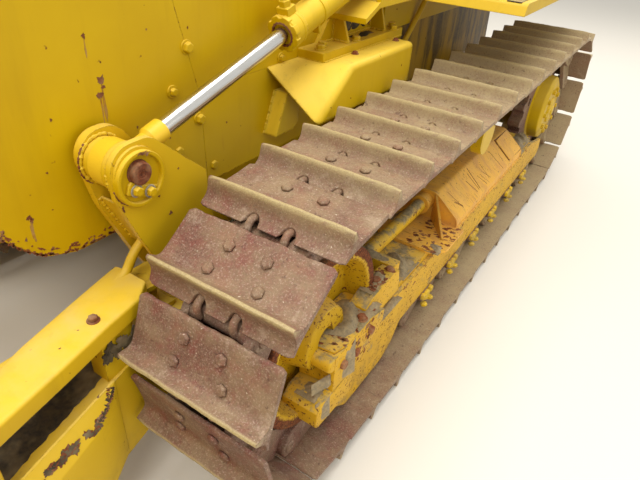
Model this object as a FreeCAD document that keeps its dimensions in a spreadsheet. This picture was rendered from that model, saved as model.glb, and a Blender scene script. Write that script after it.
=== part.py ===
# Crawler bulldozer with an inside-mounted push frame and a blade that angles and tilts.
# Millimetres. X to the machine's left, Y to its rear, Z up, ground at Z 0.
# Every driving size is a cell of the sheet; each piece takes its sizes from those cells.

import FreeCAD, Part
import math
import os
import Sketcher

os.makedirs("parts", exist_ok=True)
doc = FreeCAD.newDocument("bulldozer")
Vector = FreeCAD.Vector

# Driving sizes
# columns: name, value in mm (or degrees, or a count), what it is
SIZES = [
    ("front_y", -2200, "cutting edge, front end of the machine"),
    ("rear_y", 2200, "drawbar, rear end of the machine"),
    ("gauge", 1730, "track centre to track centre"),
    ("shoe_width", 406, "width of a track shoe"),
    ("pitch", 190.5, "track chain pitch"),
    ("shoes", 37, "shoes on one track"),
    ("link_height", 105, "rail face to shoe seat"),
    ("plate_t", 12, "track shoe plate"),
    ("grouser_h", 43, "grouser above the plate"),
    ("tread_r", 264, "idler tread radius"),
    ("idler_y", -773, "idler centre"),
    ("idler_z", 474, "idler centre"),
    ("first_tip_y", -850, "tip of the first grouser of the top run"),
    ("roller_r", 90, "track roller tread radius"),
    ("rollers", 7, "track rollers on one side"),
    ("run_gap", 0.4, "running clearance of chain to wheels"),
    ("frame_half", 132, "track frame, half width over its side plates"),
    ("skirt_t", 14, "track frame side plate"),
    ("skirt_z", 215, "lower edge of the track frame side plates"),
    ("frame_z0", 366, "underside of the track frame box"),
    ("frame_z1", 400, "top of the track frame box"),
    ("cover_h", 128, "recoil spring cover height"),
    ("hull_half", 447, "half width of the hull at its side plates"),
    ("belly_half", 330, "half width of the lower hull"),
    ("belly_z", 400, "underside of the hull"),
    ("ledge_z", 718, "lower edge of the hull side plates"),
    ("deck_z", 1000, "top of the main frame"),
    ("nose_y", -1310, "front of the radiator guard"),
    ("nose_z", 1610, "top of the radiator guard"),
    ("dash_y", -60, "rear end of the engine hood"),
    ("hood_z", 1640, "top of the engine hood"),
    ("panel_t", 16, "engine side panel"),
    ("arm_x", 537, "push arm centre beside the hull"),
    ("arm_half", 75, "push arm half width"),
    ("arm_bend_y", -964, "where the push arm starts to flare"),
    ("arm_flare", 0.184, "outward run of the arm for each mm forward"),
    ("pivot_y", 300, "push frame pivot"),
    ("pivot_z", 430, "push frame pivot"),
    ("pin_y", -1020, "lift cylinder pin on the tower"),
    ("pin_z", 940, "lift cylinder pin on the tower"),
    ("trunnion_y", 100, "lift cylinder trunnion"),
    ("trunnion_z", 1278, "lift cylinder trunnion"),
    ("lift_bore_r", 44, "lift cylinder barrel radius"),
    ("lift_rod_r", 22.5, "lift cylinder rod radius"),
    ("king_y", -1862, "king pin of the blade swivel"),
    ("beam_y0", -1800, "front of the push frame cross beam at its middle"),
    ("beam_t", 125, "push frame cross beam, front to rear"),
    ("beam_sweep", 160, "how far the beam runs back to its ends"),
    ("blade_half", 1440, "half width of the blade"),
    ("blade_z", 1000, "blade top"),
    ("tilt_z", 314, "tilt pin of the blade"),
    ("angle_z", 560, "angle cylinder pins"),
    ("angle_y0", -1868, "angle cylinder rod pin"),
    ("angle_y1", -1000, "angle cylinder barrel pin"),
    ("angle_bore_r", 38, "angle cylinder barrel radius"),
    ("angle_rod_r", 20, "angle cylinder rod radius"),
    ("tilt_pin_z", 690, "tilt cylinder pins"),
    ("tilt_y", -2012, "middle plane of the tilt cylinder"),
    ("canopy_z", 2760, "top of the roll-over canopy"),
]
sheet = doc.addObject("Spreadsheet::Sheet", "Sizes")
for row, (name, value, note) in enumerate(SIZES, start=1):
    sheet.set(f"A{row}", str(value))
    sheet.setAlias(f"A{row}", name)
    sheet.set(f"B{row}", note)
doc.recompute()


class Dim(float):
    """A number that keeps the sheet expression it follows from."""

    def __new__(cls, number, text):
        made = float.__new__(cls, number)
        made.text = text
        return made


def text_of(value):
    return value.text if isinstance(value, Dim) else repr(float(value))


def joined(left, sign, right, number):
    return Dim(number, f"({text_of(left)} {sign} {text_of(right)})")


Dim.__add__ = lambda a, b: joined(a, "+", b, float(a) + float(b))
Dim.__radd__ = lambda a, b: joined(b, "+", a, float(b) + float(a))
Dim.__sub__ = lambda a, b: joined(a, "-", b, float(a) - float(b))
Dim.__rsub__ = lambda a, b: joined(b, "-", a, float(b) - float(a))
Dim.__mul__ = lambda a, b: joined(a, "*", b, float(a) * float(b))
Dim.__rmul__ = lambda a, b: joined(b, "*", a, float(b) * float(a))
Dim.__truediv__ = lambda a, b: joined(a, "/", b, float(a) / float(b))
Dim.__neg__ = lambda a: Dim(-float(a), f"(0 - {a.text})")


class S:
    """The sheet's cells by name."""


for name, value, note in SIZES:
    setattr(S, name, Dim(float(sheet.get(name)), f"Sizes.{name}"))


def put(item, prop, value):
    """Sets a property, and binds it where the value comes from the sheet."""
    if isinstance(value, Dim):
        item.setExpression(prop, value.text)
    else:
        target = item
        path = prop.split(".")
        if len(path) == 1:
            setattr(target, prop, value)
        else:
            item.setExpression(prop, repr(float(value)))


# Outlines
def rounded(points):
    """Lines and arcs of a closed outline; a third number in a point is its corner radius."""
    count = len(points)
    corners = []
    for i, point in enumerate(points):
        here = Vector(float(point[0]), float(point[1]), 0)
        radius = float(point[2]) if len(point) > 2 else 0.0
        if radius == 0.0:
            corners.append((here, None, here))
            continue
        before, after = points[i - 1], points[(i + 1) % count]
        to_before = (Vector(float(before[0]), float(before[1]), 0) - here).normalize()
        to_after = (Vector(float(after[0]), float(after[1]), 0) - here).normalize()
        half = to_before.getAngle(to_after) / 2
        reach = radius / math.tan(half)
        start, end = here + to_before * reach, here + to_after * reach
        middle = here + (to_before + to_after).normalize() * (radius / math.sin(half) - radius)
        corners.append((start, middle, end))
    edges = []
    for i, (start, middle, end) in enumerate(corners):
        if middle is not None:
            edges.append(Part.Arc(start, middle, end))
        following = corners[(i + 1) % count][0]
        if (following - end).Length > 1e-6:
            edges.append(Part.LineSegment(end, following))
    return edges


def disc(u, v, radius):
    return ("disc", float(u), float(v), float(radius))


def slot_row(u0, u1, v0, v1, count, share):
    """Upright openings side by side, as outlines."""
    step = (float(u1) - float(u0)) / count
    rows = []
    for i in range(count):
        left = float(u0) + step * (i + (1 - share) / 2)
        rows.append([(left, v0), (left + step * share, v0), (left + step * share, v1), (left, v1)])
    return rows


# Planes of a body: role of the plane, and the sense of its normal along the axis
PLANES = {"X": ("YZ_Plane", 1), "Y": ("XZ_Plane", -1), "Z": ("XY_Plane", 1)}


def new_body(label):
    body = doc.addObject("PartDesign::Body", label)
    body.Label = label
    return body


def sketch(body, axis, loops, at):
    """A sketch across an axis; loops are outlines or discs in the other two coordinates."""
    role, sense = PLANES[axis]
    plane = [f for f in body.Origin.OriginFeatures if f.Role == role][0]
    drawn = body.newObject("Sketcher::SketchObject", "Outline")
    drawn.AttachmentSupport = [(plane, "")]
    drawn.MapMode = "FlatFace"
    put(drawn, "AttachmentOffset.Base.z", at * sense)
    for loop in loops:
        if loop[0] == "disc":
            drawn.addGeometry(Part.Circle(Vector(loop[1], loop[2], 0), Vector(0, 0, 1), loop[3]))
        else:
            drawn.addGeometry(rounded(loop))
    return drawn


def as_loops(outline):
    if outline[0] == "disc":
        return [outline]
    if isinstance(outline[0][0], (list, tuple)) or outline[0][0] == "disc":
        return outline
    return [outline]


def pad(body, axis, outline, low, high):
    """Material between two positions on an axis."""
    sense = PLANES[axis][1]
    drawn = sketch(body, axis, as_loops(outline), low if sense == 1 else high)
    made = body.newObject("PartDesign::Pad", "Pad")
    made.Profile = drawn
    put(made, "Length", high - low)
    body.Tip = made
    return made


def pocket(body, axis, outline, low, high):
    """Removes material between two positions on an axis."""
    sense = PLANES[axis][1]
    drawn = sketch(body, axis, as_loops(outline), high if sense == 1 else low)
    made = body.newObject("PartDesign::Pocket", "Pocket")
    made.Profile = drawn
    put(made, "Length", high - low)
    body.Tip = made
    return made


def prism(label, axis, outline, low, high):
    body = new_body(label)
    pad(body, axis, outline, low, high)
    return body


def rect(u0, u1, v0, v1, radius=0):
    return [(u0, v0, radius), (u1, v0, radius), (u1, v1, radius), (u0, v1, radius)]


def turned(label, axis, outline, centre):
    """A turned piece: outline in (position along the axis, radius), through a centre point."""
    body = new_body(label)
    role = {"X": "XZ_Plane", "Y": "YZ_Plane", "Z": "XZ_Plane"}[axis]
    plane = [f for f in body.Origin.OriginFeatures if f.Role == role][0]
    drawn = body.newObject("Sketcher::SketchObject", "Outline")
    drawn.AttachmentSupport = [(plane, "")]
    drawn.MapMode = "FlatFace"
    if axis == "Z":
        outline = [(p[1], p[0]) + tuple(p[2:]) for p in outline]
    drawn.addGeometry(rounded(outline))
    made = body.newObject("PartDesign::Revolution", "Revolution")
    made.Profile = drawn
    made.ReferenceAxis = (drawn, ["V_Axis" if axis == "Z" else "H_Axis"])
    made.Angle = 360
    body.Tip = made
    for prop, value in zip(("x", "y", "z"), centre):
        put(body, f"Placement.Base.{prop}", value)
    return body


def box(label, x0, x1, y0, y1, z0, z1):
    made = doc.addObject("Part::Box", label)
    made.Label = label
    for prop, value in (("Length", x1 - x0), ("Width", y1 - y0), ("Height", z1 - z0),
                        ("Placement.Base.x", x0), ("Placement.Base.y", y0), ("Placement.Base.z", z0)):
        put(made, prop, value)
    return made


def rod(label, start, end, radius):
    """A round bar between two points."""
    a, b = Vector(*[float(c) for c in start]), Vector(*[float(c) for c in end])
    made = doc.addObject("Part::Cylinder", label)
    put(made, "Radius", radius)
    made.Height = (b - a).Length
    made.Placement = FreeCAD.Placement(a, FreeCAD.Rotation(Vector(0, 0, 1), b - a))
    return made


def mirrored(item):
    made = doc.addObject("Part::Mirroring", item.Name + "_mirror")
    made.Source = item
    made.Normal = Vector(1, 0, 0)
    return made


def fused(label, items):
    made = doc.addObject("Part::MultiFuse", label)
    made.Shapes = items
    made.Refine = True
    made.Label = label
    return made


def grouped(label, items):
    made = doc.addObject("Part::Compound", label)
    made.Links = items
    made.Label = label
    return made


def cut(label, base, tool):
    made = doc.addObject("Part::Cut", label)
    made.Base = base
    made.Tool = tool
    made.Refine = True
    made.Label = label
    return made


def common(label, first, second):
    made = doc.addObject("Part::MultiCommon", label)
    made.Shapes = [first, second]
    made.Label = label
    return made


NODES = []


def node(item, label=None):
    if label:
        item.Label = label
    NODES.append(item)
    return item


TX = S.gauge / 2

# Track chain: where the pins lie
half_link = S.link_height / 2
tip = half_link + S.plate_t + S.grouser_h
pin_z0 = tip
idler_ring = math.hypot(S.tread_r + S.run_gap + half_link, S.pitch / 2)
sprocket_ring = S.pitch / (2 * math.sin(math.pi / 11.5))
rail_z = pin_z0 + half_link
roller_z = rail_z + S.run_gap + S.roller_r
sprocket_z = pin_z0 + sprocket_ring
roller_y0 = S.idler_y + 398
roller_y1 = 1365
carrier_y = S.idler_y + 1190
carrier_r = 78


# Where the grouser lies along a shoe's pitch
grouser_s = 158


def belt(wheels, low_y, high_y, low_z):
    """The taut path of the pins round the wheels, as a closed list of (y, z)."""
    cloud = [(low_y, low_z), (high_y, low_z)]
    for y, z, radius in wheels:
        for step in range(1440):
            angle = math.radians(step / 4)
            cloud.append((y + radius * math.cos(angle), z + radius * math.sin(angle)))
    cloud = sorted(cloud)
    hull = []
    for sign in (1, -1):
        part = []
        for point in (cloud if sign == 1 else reversed(cloud)):
            while len(part) > 1 and ((part[-1][0] - part[-2][0]) * (point[1] - part[-2][1])
                                     - (part[-1][1] - part[-2][1]) * (point[0] - part[-2][0])) <= 0:
                part.pop()
            part.append(point)
        hull += part[:-1]
    path = []
    for a, b in zip(hull, hull[1:] + hull[:1]):
        steps = max(1, int(math.dist(a, b) / 4))
        path += [(a[0] + (b[0] - a[0]) * k / steps, a[1] + (b[1] - a[1]) * k / steps) for k in range(steps)]
    return path


def walk(path, start, pitch, count):
    """Steps chords of one pitch along a closed path; returns the points and what is left over."""
    size = len(path)
    points = [path[start]]
    index = start
    here = path[start]
    for _ in range(count):
        i = index
        while True:
            a, b = path[i % size], path[(i + 1) % size]
            if math.dist(here, b) >= pitch and i >= index:
                break
            i += 1
        low, high = 0.0, 1.0
        for _ in range(40):
            middle = (low + high) / 2
            point = (a[0] + (b[0] - a[0]) * middle, a[1] + (b[1] - a[1]) * middle)
            if math.dist(here, point) < pitch:
                low = middle
            else:
                high = middle
        here = point
        index = i
        points.append(here)
    travelled = index + high
    return points, travelled - (start + size)


def pins(sprocket_y):
    wheels = [(S.idler_y, S.idler_z, idler_ring), (sprocket_y, sprocket_z, sprocket_ring)]
    path = belt(wheels, roller_y0, roller_y1, pin_z0)
    first = (S.first_tip_y + grouser_s - 4, S.idler_z + idler_ring)
    start = min(range(len(path)), key=lambda i: math.dist(path[i], first))
    return walk(path, start, float(S.pitch), int(S.shoes))


low, high = 1600.0, 1800.0
for _ in range(30):
    middle = (low + high) / 2
    if pins(middle)[1] > 0:
        low = middle
    else:
        high = middle
sprocket_y = high
PINS = pins(sprocket_y)[0]
print("sprocket_y", round(sprocket_y, 2), "sprocket_z", round(float(sprocket_z), 2), "roller_z", float(roller_z),
      "closing gap", round(math.dist(PINS[0], PINS[-1]), 4))

# Track shoe and its two links, once: X across, Y along the pitch, Z outward from the pin line
shoe_outline = [(8, half_link), (198.3, half_link), (198.3, half_link + 8), (grouser_s + 9, half_link + S.plate_t),
                (grouser_s + 4, tip), (grouser_s - 6, tip), (grouser_s - 10, half_link + S.plate_t),
                (8, half_link + S.plate_t)]
link_outline = [(-18, -half_link), (208.5, -half_link), (222, 0), (165, half_link), (25, half_link), (-32, 0)]
shoe = prism("shoe_pattern", "X", shoe_outline, -(S.shoe_width / 2), S.shoe_width / 2)
link_body = prism("link_pattern", "X", link_outline, -11.3, 11.3)
doc.recompute()
toe = 7.0
link_sides = []
for side in (1, -1):
    turn = FreeCAD.Rotation(Vector(0, 0, 1), toe * side)
    seat = Vector(side * 80, float(S.pitch) / 2, 0)
    bar = link_body.Shape.copy()
    bar.translate(Vector(0, -float(S.pitch) / 2, 0))
    bar.Placement = FreeCAD.Placement(seat, turn).multiply(bar.Placement)
    link_sides.append(bar)
one_shoe = shoe.Shape.fuse(link_sides).removeSplitter()


def chain(centre_x):
    shoes = []
    for (y0, z0), (y1, z1) in zip(PINS[:-1], PINS[1:]):
        along = Vector(0, y1 - y0, z1 - z0).normalize()
        outward = Vector(0, along.z, -along.y)
        if outward.z * (z0 + z1 - 2 * float(S.idler_z)) < 0 and abs(outward.z) > 0.2:
            outward = -outward
        across = along.cross(outward)
        matrix = FreeCAD.Matrix(across.x, along.x, outward.x, float(centre_x),
                                across.y, along.y, outward.y, y0,
                                across.z, along.z, outward.z, z0, 0, 0, 0, 1)
        copy = one_shoe.copy()
        copy.transformShape(matrix)
        shoes.append(copy)
    return Part.makeCompound(shoes)


for label, x in (("track_left", TX), ("track_right", -TX)):
    track = doc.addObject("Part::Feature", label)
    track.Shape = chain(x)
    node(track, label)

# Idlers: two rail treads either side of a centre flange, on a hub
idler_outline = [(-104, 36), (-104, 92, 4), (-30, 110, 6), (-30, 210, 8), (-104, 226, 6), (-104, S.tread_r, 4),
                 (-52, S.tread_r), (-46, S.tread_r + 20, 4), (46, S.tread_r + 20, 4), (52, S.tread_r),
                 (104, S.tread_r, 4), (104, 226, 6), (30, 210, 8), (30, 110, 6), (104, 92, 4), (104, 36)]
idler_left = turned("idler_wheel", "X", idler_outline, (TX, S.idler_y, S.idler_z))
node(grouped("idlers", [idler_left, mirrored(idler_left)]))

# Sprockets: toothed rims bolted to the final drives
teeth = 23
tooth_tip = sprocket_ring + 6
tooth_root = sprocket_ring - 34
profile = []
for i in range(teeth):
    step = 2 * math.pi / teeth
    for share, radius in ((-0.36, tooth_root), (-0.15, tooth_tip), (0.15, tooth_tip), (0.36, tooth_root)):
        angle = (i + share) * step
        profile.append((sprocket_y + radius * math.sin(angle), float(sprocket_z) + radius * math.cos(angle)))
sprocket_left = new_body("sprocket_wheel")
pad(sprocket_left, "X", [profile, disc(sprocket_y, sprocket_z, 205)], TX - 33, TX + 33)
openings = []
for i in range(5):
    angle = 2 * math.pi * i / 5
    openings.append(disc(sprocket_y + 258 * math.sin(angle), float(sprocket_z) + 258 * math.cos(angle), 24))
pocket(sprocket_left, "X", openings, TX - 33, TX + 33)
node(grouped("sprockets", [sprocket_left, mirrored(sprocket_left)]))

# Final drives: turned housings from the hull side out through the sprockets
reach = S.gauge / 2 - S.hull_half - 0.3
drive_outline = [(0, 0), (0, 215, 10), (130, 215, 20), (reach - 200, 150, 20), (reach - 40, 150, 8),
                 (reach - 34, 204.5), (reach + 34, 204.5), (reach + 40, 185), (reach + 96, 180, 10),
                 (reach + 110, 150, 4), (reach + 110, 0)]
drive_left = turned("final_drive", "X", drive_outline, (S.hull_half + 0.3, sprocket_y, sprocket_z))
node(grouped("final_drives", [drive_left, mirrored(drive_left)]))

# Track frames: a box over the rollers between two side plates, forked round the idler
frame_y0, frame_y1 = -470, 1290
fork_y0, fork_y1 = -832, 1577
box_half = S.frame_half - S.skirt_t
frame_left = new_body("track_frame_left")
pad(frame_left, "X", rect(frame_y0, frame_y1, S.frame_z0, S.frame_z1), TX - box_half, TX + box_half)
frame_lip = 370
outer_plate = [(fork_y0, 250, 12), (-660, 118, 40), (-420, 118, 40), (-350, 150, 40), (-300, S.skirt_z, 20),
               (fork_y1 - 40, S.skirt_z, 20), (fork_y1, 240, 20), (fork_y1 - 30, 318, 20), (frame_y1, frame_lip, 20),
               (-520, frame_lip, 30), (-660, 330, 30), (fork_y0, 312, 12)]
inner_plate = [(-640, 240, 20), (-440, S.skirt_z, 20), (frame_y1, S.skirt_z, 20), (frame_y1 + 40, 260, 20),
               (frame_y1, S.frame_z1), (frame_y0, S.frame_z1, 30), (-640, 320, 20)]
pad(frame_left, "X", outer_plate, TX + box_half, TX + S.frame_half)
pad(frame_left, "X", inner_plate, TX - S.frame_half, TX - box_half)
node(frame_left)
node(mirrored(frame_left), "track_frame_right")

# Track rollers: one turned outline repeated along the frame, held at their ends by its side plates
roller_outline = [(-117.7, 0), (-117.7, 30), (-112, 30), (-112, 104, 3), (-108, 104), (-106.5, S.roller_r),
                  (-58, S.roller_r), (-50, 76, 6), (50, 76, 6), (58, S.roller_r), (106.5, S.roller_r), (108, 104),
                  (112, 104, 3), (112, 30), (117.7, 30), (117.7, 0)]
roller_items = []
roller_count = int(S.rollers)
for i in range(roller_count):
    y = roller_y0 + 32 + (1240 - roller_y0 - 32) * i / (roller_count - 1)
    one = turned(f"track_roller_{i + 1}", "X", roller_outline, (TX, y, roller_z))
    roller_items += [one, mirrored(one)]
    # end caps that hold the shaft up to the side plates; the first roller sits in the plates' lobe
    for side in (1, -1) if i > 0 else ():
        inner, outer = TX + side * 113, TX + side * 136
        cap = prism("roller_cap", "X", [(y - 52, S.skirt_z - 0.3), (y - 34, 178, 10), (y + 34, 178, 10), (y + 52, S.skirt_z - 0.3)],
                    min(inner, outer), max(inner, outer))
        roller_items += [cap, mirrored(cap)]
node(grouped("track_rollers", roller_items))

# Carrier rollers under the top run, each on a bracket from the track frame
on_top = [(a, b) for a, b in zip(PINS[:-1], PINS[1:]) if min(a[1], b[1]) > 600 and min(a[0], b[0]) <= carrier_y <= max(a[0], b[0])]
(y0, z0), (y1, z1) = on_top[0]
carrier_z = z0 + (z1 - z0) * (carrier_y - y0) / (y1 - y0) - half_link - S.run_gap - carrier_r
carrier_outline = [(-S.frame_half, 0), (-S.frame_half, 30), (-106, 30), (-106, 60, 3), (-104, carrier_r), (-60, carrier_r), (-50, 60, 6), (50, 60, 6),
                   (60, carrier_r), (104, carrier_r), (106, 60, 3), (106, 0)]
carrier = turned("carrier_wheel", "X", carrier_outline, (TX, carrier_y, carrier_z))
post = prism("carrier_bracket", "X", [(carrier_y - 90, 330, 15), (carrier_y + 90, 330, 15), (carrier_y + 90, S.frame_z1),
                                      (carrier_y + 45, carrier_z + 45, 40), (carrier_y - 45, carrier_z + 45, 40),
                                      (carrier_y - 90, S.frame_z1)],
             TX - S.frame_half - 24, TX - S.frame_half - 0.3)
node(grouped("carrier_rollers", [carrier, mirrored(carrier), post, mirrored(post)]))

# Idler yokes: bearing blocks on the fork, a crosshead and the adjuster tube to the recoil housing
cover_y0, cover_y1 = 100, 975
tube_z = S.idler_z + 5
yoke_z = S.frame_z1 + 0.4
yoke = new_body("idler_yoke")
pad(yoke, "X", [(-404, yoke_z), (-404, 505, 20), (-362, 505, 10), (-362, yoke_z)], TX - 117, TX + 117)
arm_outline = [(-862, 440, 20), (-820, yoke_z + 10, 10), (-560, yoke_z), (-380, yoke_z), (-380, 500, 20),
               (-480, 520, 60), (-700, 530, 30), (-850, 515, 30)]
pad(yoke, "X", arm_outline, TX + 104.5, TX + 117)
pad(yoke, "X", arm_outline, TX - 117, TX - 104.5)
block_outline = [(-815, 319, 6), (-662, 335), (-536, 398), (-536, 452, 20), (-600, 468, 10), (-795, 468, 20), (-815, 440, 6)]
pad(yoke, "X", block_outline, TX + 117, TX + 163)
pad(yoke, "X", block_outline, TX - 163, TX - 117)
pad(yoke, "X", [(-800, yoke_z), (-560, yoke_z), (-560, 467), (-800, 467)], TX + 104.5, TX + 118)
pad(yoke, "X", [(-800, yoke_z), (-560, yoke_z), (-560, 467), (-800, 467)], TX - 118, TX - 104.5)
pad(yoke, "Y", disc(TX, tube_z, 26), -364, cover_y0 - 45.3)
node(grouped("idler_yokes", [yoke, mirrored(yoke)]))

# Recoil spring covers: a folded cover over the spring, its base flange and two thin ribs in front
cover = new_body("recoil_cover")
cover_z = S.frame_z1 + 0.3
folded = [(TX - 132, cover_z), (TX + 145, cover_z), (TX + 145, S.frame_z1 + 42, 10), (TX + 42, S.frame_z1 + S.cover_h, 24),
          (TX - 42, S.frame_z1 + S.cover_h, 24), (TX - 132, S.frame_z1 + 42, 10)]
pad(cover, "Y", folded, cover_y0, cover_y1)
flange = [(TX - 132, cover_y0 + 1), (TX - 132, -60, 30), (TX - 70, -120, 40), (TX + 130, -120, 50), (TX + 178, -80, 40),
          (TX + 178, cover_y0 + 1)]
pad(cover, "Z", flange, cover_z, S.frame_z1 + 13)
pad(cover, "Y", disc(TX, tube_z, 38), cover_y0 - 45, cover_y0)
rib_plan = [(TX + 38, cover_y0 + 1), (TX + 48, cover_y0 + 1), (TX + 144, -22), (TX + 134, -22)]
rib_side = [(cover_y0 + 2, cover_z + 5), (cover_y0 + 2, S.frame_z1 + 122), (-22, S.frame_z1 + 18), (-22, cover_z + 5)]
rib = common("recoil_rib", prism("recoil_rib_plan", "Z", rib_plan, 300, 700), prism("recoil_rib_side", "X", rib_side, 700, 1100))
rib_in_plan = [(2 * TX - x, y) for x, y in rib_plan]
rib_in = common("recoil_rib_in", prism("recoil_rib_in_plan", "Z", rib_in_plan, 300, 700),
                prism("recoil_rib_in_side", "X", rib_side, 700, 1100))
cover = fused("recoil_cover_left", [cover, rib, rib_in])
node(grouped("recoil_covers", [cover, mirrored(cover)]))

# Main frame: side plates over a narrower belly, with the pivots of the push frame below
frame = new_body("main_frame")
hull_y0, hull_y1 = -1100, 1880
section = [(-S.belly_half, S.belly_z, 60), (S.belly_half, S.belly_z, 60), (S.belly_half, S.ledge_z),
           (S.hull_half, S.ledge_z), (S.hull_half, S.deck_z), (-S.hull_half, S.deck_z), (-S.hull_half, S.ledge_z),
           (-S.belly_half, S.ledge_z)]
pad(frame, "Y", section, hull_y0, hull_y1)
belly_rake = [(hull_y0 - 1, S.belly_z - 1), (hull_y0 - 1, S.ledge_z), (-1000, S.ledge_z), (-700, S.belly_z - 1)]
pocket(frame, "X", belly_rake, -S.hull_half - 1, S.hull_half + 1)
# the sides stand back where the nose guard's side plates lap over them
lap = [(hull_y0 - 1, S.ledge_z - 1), (-649.8, S.ledge_z - 1), (-661.6, 987), (-665.7, S.deck_z + 1), (hull_y0 - 1, S.deck_z + 1)]
pocket(frame, "X", lap, S.hull_half - 16.3, S.hull_half + 1)
pocket(frame, "X", lap, -S.hull_half - 1, -S.hull_half + 16.3)
rear_face = hull_y1 - 60
rear_rake = [(hull_y1 + 1, S.deck_z + 1), (hull_y1 - 50, S.deck_z + 1), (hull_y1 - 10, S.ledge_z), (rear_face, 650),
             (rear_face, S.belly_z - 1), (hull_y1 + 1, S.belly_z - 1)]
pocket(frame, "X", rear_rake, -S.hull_half - 1, S.hull_half + 1)
pivot_boss = [(S.pivot_y - 150, S.ledge_z), (S.pivot_y - 90, S.pivot_z - 30, 60), (S.pivot_y, S.pivot_z - 95, 80),
              (S.pivot_y + 90, S.pivot_z - 30, 60), (S.pivot_y + 150, S.ledge_z)]
pad(frame, "X", pivot_boss, S.belly_half, S.arm_x - S.arm_half - 6)
pad(frame, "X", pivot_boss, -(S.arm_x - S.arm_half - 6), -S.belly_half)
pad(frame, "X", disc(S.pivot_y, S.pivot_z, 38), -(S.arm_x + S.arm_half + 14), S.arm_x + S.arm_half + 14)
# round cases of the steering brakes, from side to side at the final drives
pad(frame, "X", disc(sprocket_y, sprocket_z, 200), -S.hull_half, -170)
pad(frame, "X", disc(sprocket_y, sprocket_z, 200), 170, S.hull_half)
# cross beams that carry the track frames
for y0, y1, z0, z1 in ((620, 760, 380, 560), (1060, 1200, 380, 560)):
    pad(frame, "Y", rect(-(TX - S.frame_half - 0.3), TX - S.frame_half - 0.3, z0, z1, 20), y0, y1)
# drawbar with its pin hole and a gusset over it
pad(frame, "Z", [(-160, rear_face - 1), (160, rear_face - 1), (160, 2040, 30), (80, S.rear_y, 60), (-80, S.rear_y, 60),
                 (-160, 2040, 30)], 470, 530)
pocket(frame, "Z", disc(0, S.rear_y - 75, 26), 469, 531)
pad(frame, "X", [(rear_face - 1, 529), (2060, 529), (rear_face + 60, 640), (rear_face - 1, 640)], -20, 20)
node(frame)

# Radiator guard: two side plates and a back, open at the front for the grille
guard_half = S.hull_half
guard_y1 = -1010
nose = new_body("radiator_guard")
side = [(S.nose_y, 880, 60), (-1185, 738, 80), (hull_y0 - 0.3, 709), (hull_y0 - 0.3, S.deck_z + 0.3),
        (guard_y1, S.deck_z + 0.3), (guard_y1, S.nose_z), (S.nose_y + 20, S.nose_z, 60)]
pad(nose, "X", side, -guard_half, guard_half)
wall = 30
pocket(nose, "Y", rect(-guard_half + wall, guard_half - wall, 890, S.nose_z - 40, 25), S.nose_y - 1, guard_y1 - 30)
pocket(nose, "Y", rect(-guard_half + 90, guard_half - 90, S.deck_z + 40, S.nose_z - 80, 25), guard_y1 - 31, guard_y1 + 1)
# side plates that lap back over the hull as far as the slanting seam
lapping = [(S.nose_y, 880, 60), (-1185, 738, 80), (-1090, 709), (-650, 709), (-662, 987), (-788, 1419.7),
           (guard_y1 + 0.1, 1419.7), (guard_y1 + 0.1, 1500), (S.nose_y, 1500)]
pad(nose, "X", lapping, S.hull_half - S.panel_t, S.hull_half)
pad(nose, "X", lapping, -S.hull_half, -S.hull_half + S.panel_t)
node(nose)

# Grille: a frame and upright bars in the guard's mouth, in two leaves
leaves = []
for side in (1, -1):
    inner, outer = 8, float(guard_half) - wall - 0.3
    leaf = rect(min(side * inner, side * outer), max(side * inner, side * outer), 890.3, S.nose_z - 40.3, 25)
    leaves.append(leaf)
    leaves += slot_row(min(side * (inner + 30), side * (outer - 30)), max(side * (inner + 30), side * (outer - 30)),
                       930, 1220, 9, 0.62)
    leaves += slot_row(min(side * (inner + 30), side * (outer - 30)), max(side * (inner + 30), side * (outer - 30)),
                       1250, S.nose_z - 76, 9, 0.62)
grille_leaf = prism("grille_left", "Y", leaves[:19], S.nose_y + 24, S.nose_y + 44)
node(grouped("grille", [grille_leaf, mirrored(grille_leaf)]))

# Radiator core behind the grille
node(box("radiator_core", -(guard_half - wall - 26), guard_half - wall - 26, S.nose_y + 50, S.nose_y + 135, 890.3,
         S.nose_z - 40.3))

# Engine: one plain block at its place, seen only through slots
node(box("engine_block", -260, 260, -940, -140, S.deck_z + 0.3, 1420))

# Engine hood: a folded top with sloping shoulders
hood = new_body("engine_hood")
hood_y0 = guard_y1 + 0.3
outer = [(-S.hull_half, 1420), (-S.hull_half, 1500, 30), (-340, S.hood_z, 60), (340, S.hood_z, 60),
         (S.hull_half, 1500, 30), (S.hull_half, 1420), (S.hull_half - 12, 1420), (S.hull_half - 12, 1496, 20),
         (336, S.hood_z - 12, 50), (-336, S.hood_z - 12, 50), (-S.hull_half + 12, 1496, 20), (-S.hull_half + 12, 1420)]
pad(hood, "Y", outer, hood_y0, S.dash_y)
node(hood)

# Engine side panels, a row of louvre slots in each
panel = new_body("side_panel_left")
panel_outline = [[(-665.3, S.deck_z + 0.3), (S.dash_y, S.deck_z + 0.3), (S.dash_y, 1419.7), (-787.4, 1419.7)]]
pad(panel, "X", panel_outline, S.hull_half - S.panel_t, S.hull_half)
louvres = []
for i in range(9):
    y = -470 + 42 * i
    louvres.append(rect(y, y + 18, 1270, 1390, 5))
pocket(panel, "X", louvres, S.hull_half - S.panel_t - 1, S.hull_half + 1)
node(grouped("side_panels", [panel, mirrored(panel)]))

# Exhaust: a muffler body under a stack with a cut end
stack_x, stack_y = -190, -520
stack = turned("exhaust_stack", "Z", [(0, 0), (0, 46), (70, 46, 10), (90, 88, 20), (430, 88, 30), (470, 40, 10),
                                      (760, 40), (760, 34), (480, 34), (480, 0)], (stack_x, stack_y, S.hood_z + 0.3))
node(stack)
cleaner = turned("air_cleaner", "Z", [(0, 0), (0, 45), (150, 45), (160, 105, 8), (300, 115, 30), (330, 60, 20), (335, 0)],
                 (190, -420, S.hood_z + 0.3))
node(cleaner)

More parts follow.
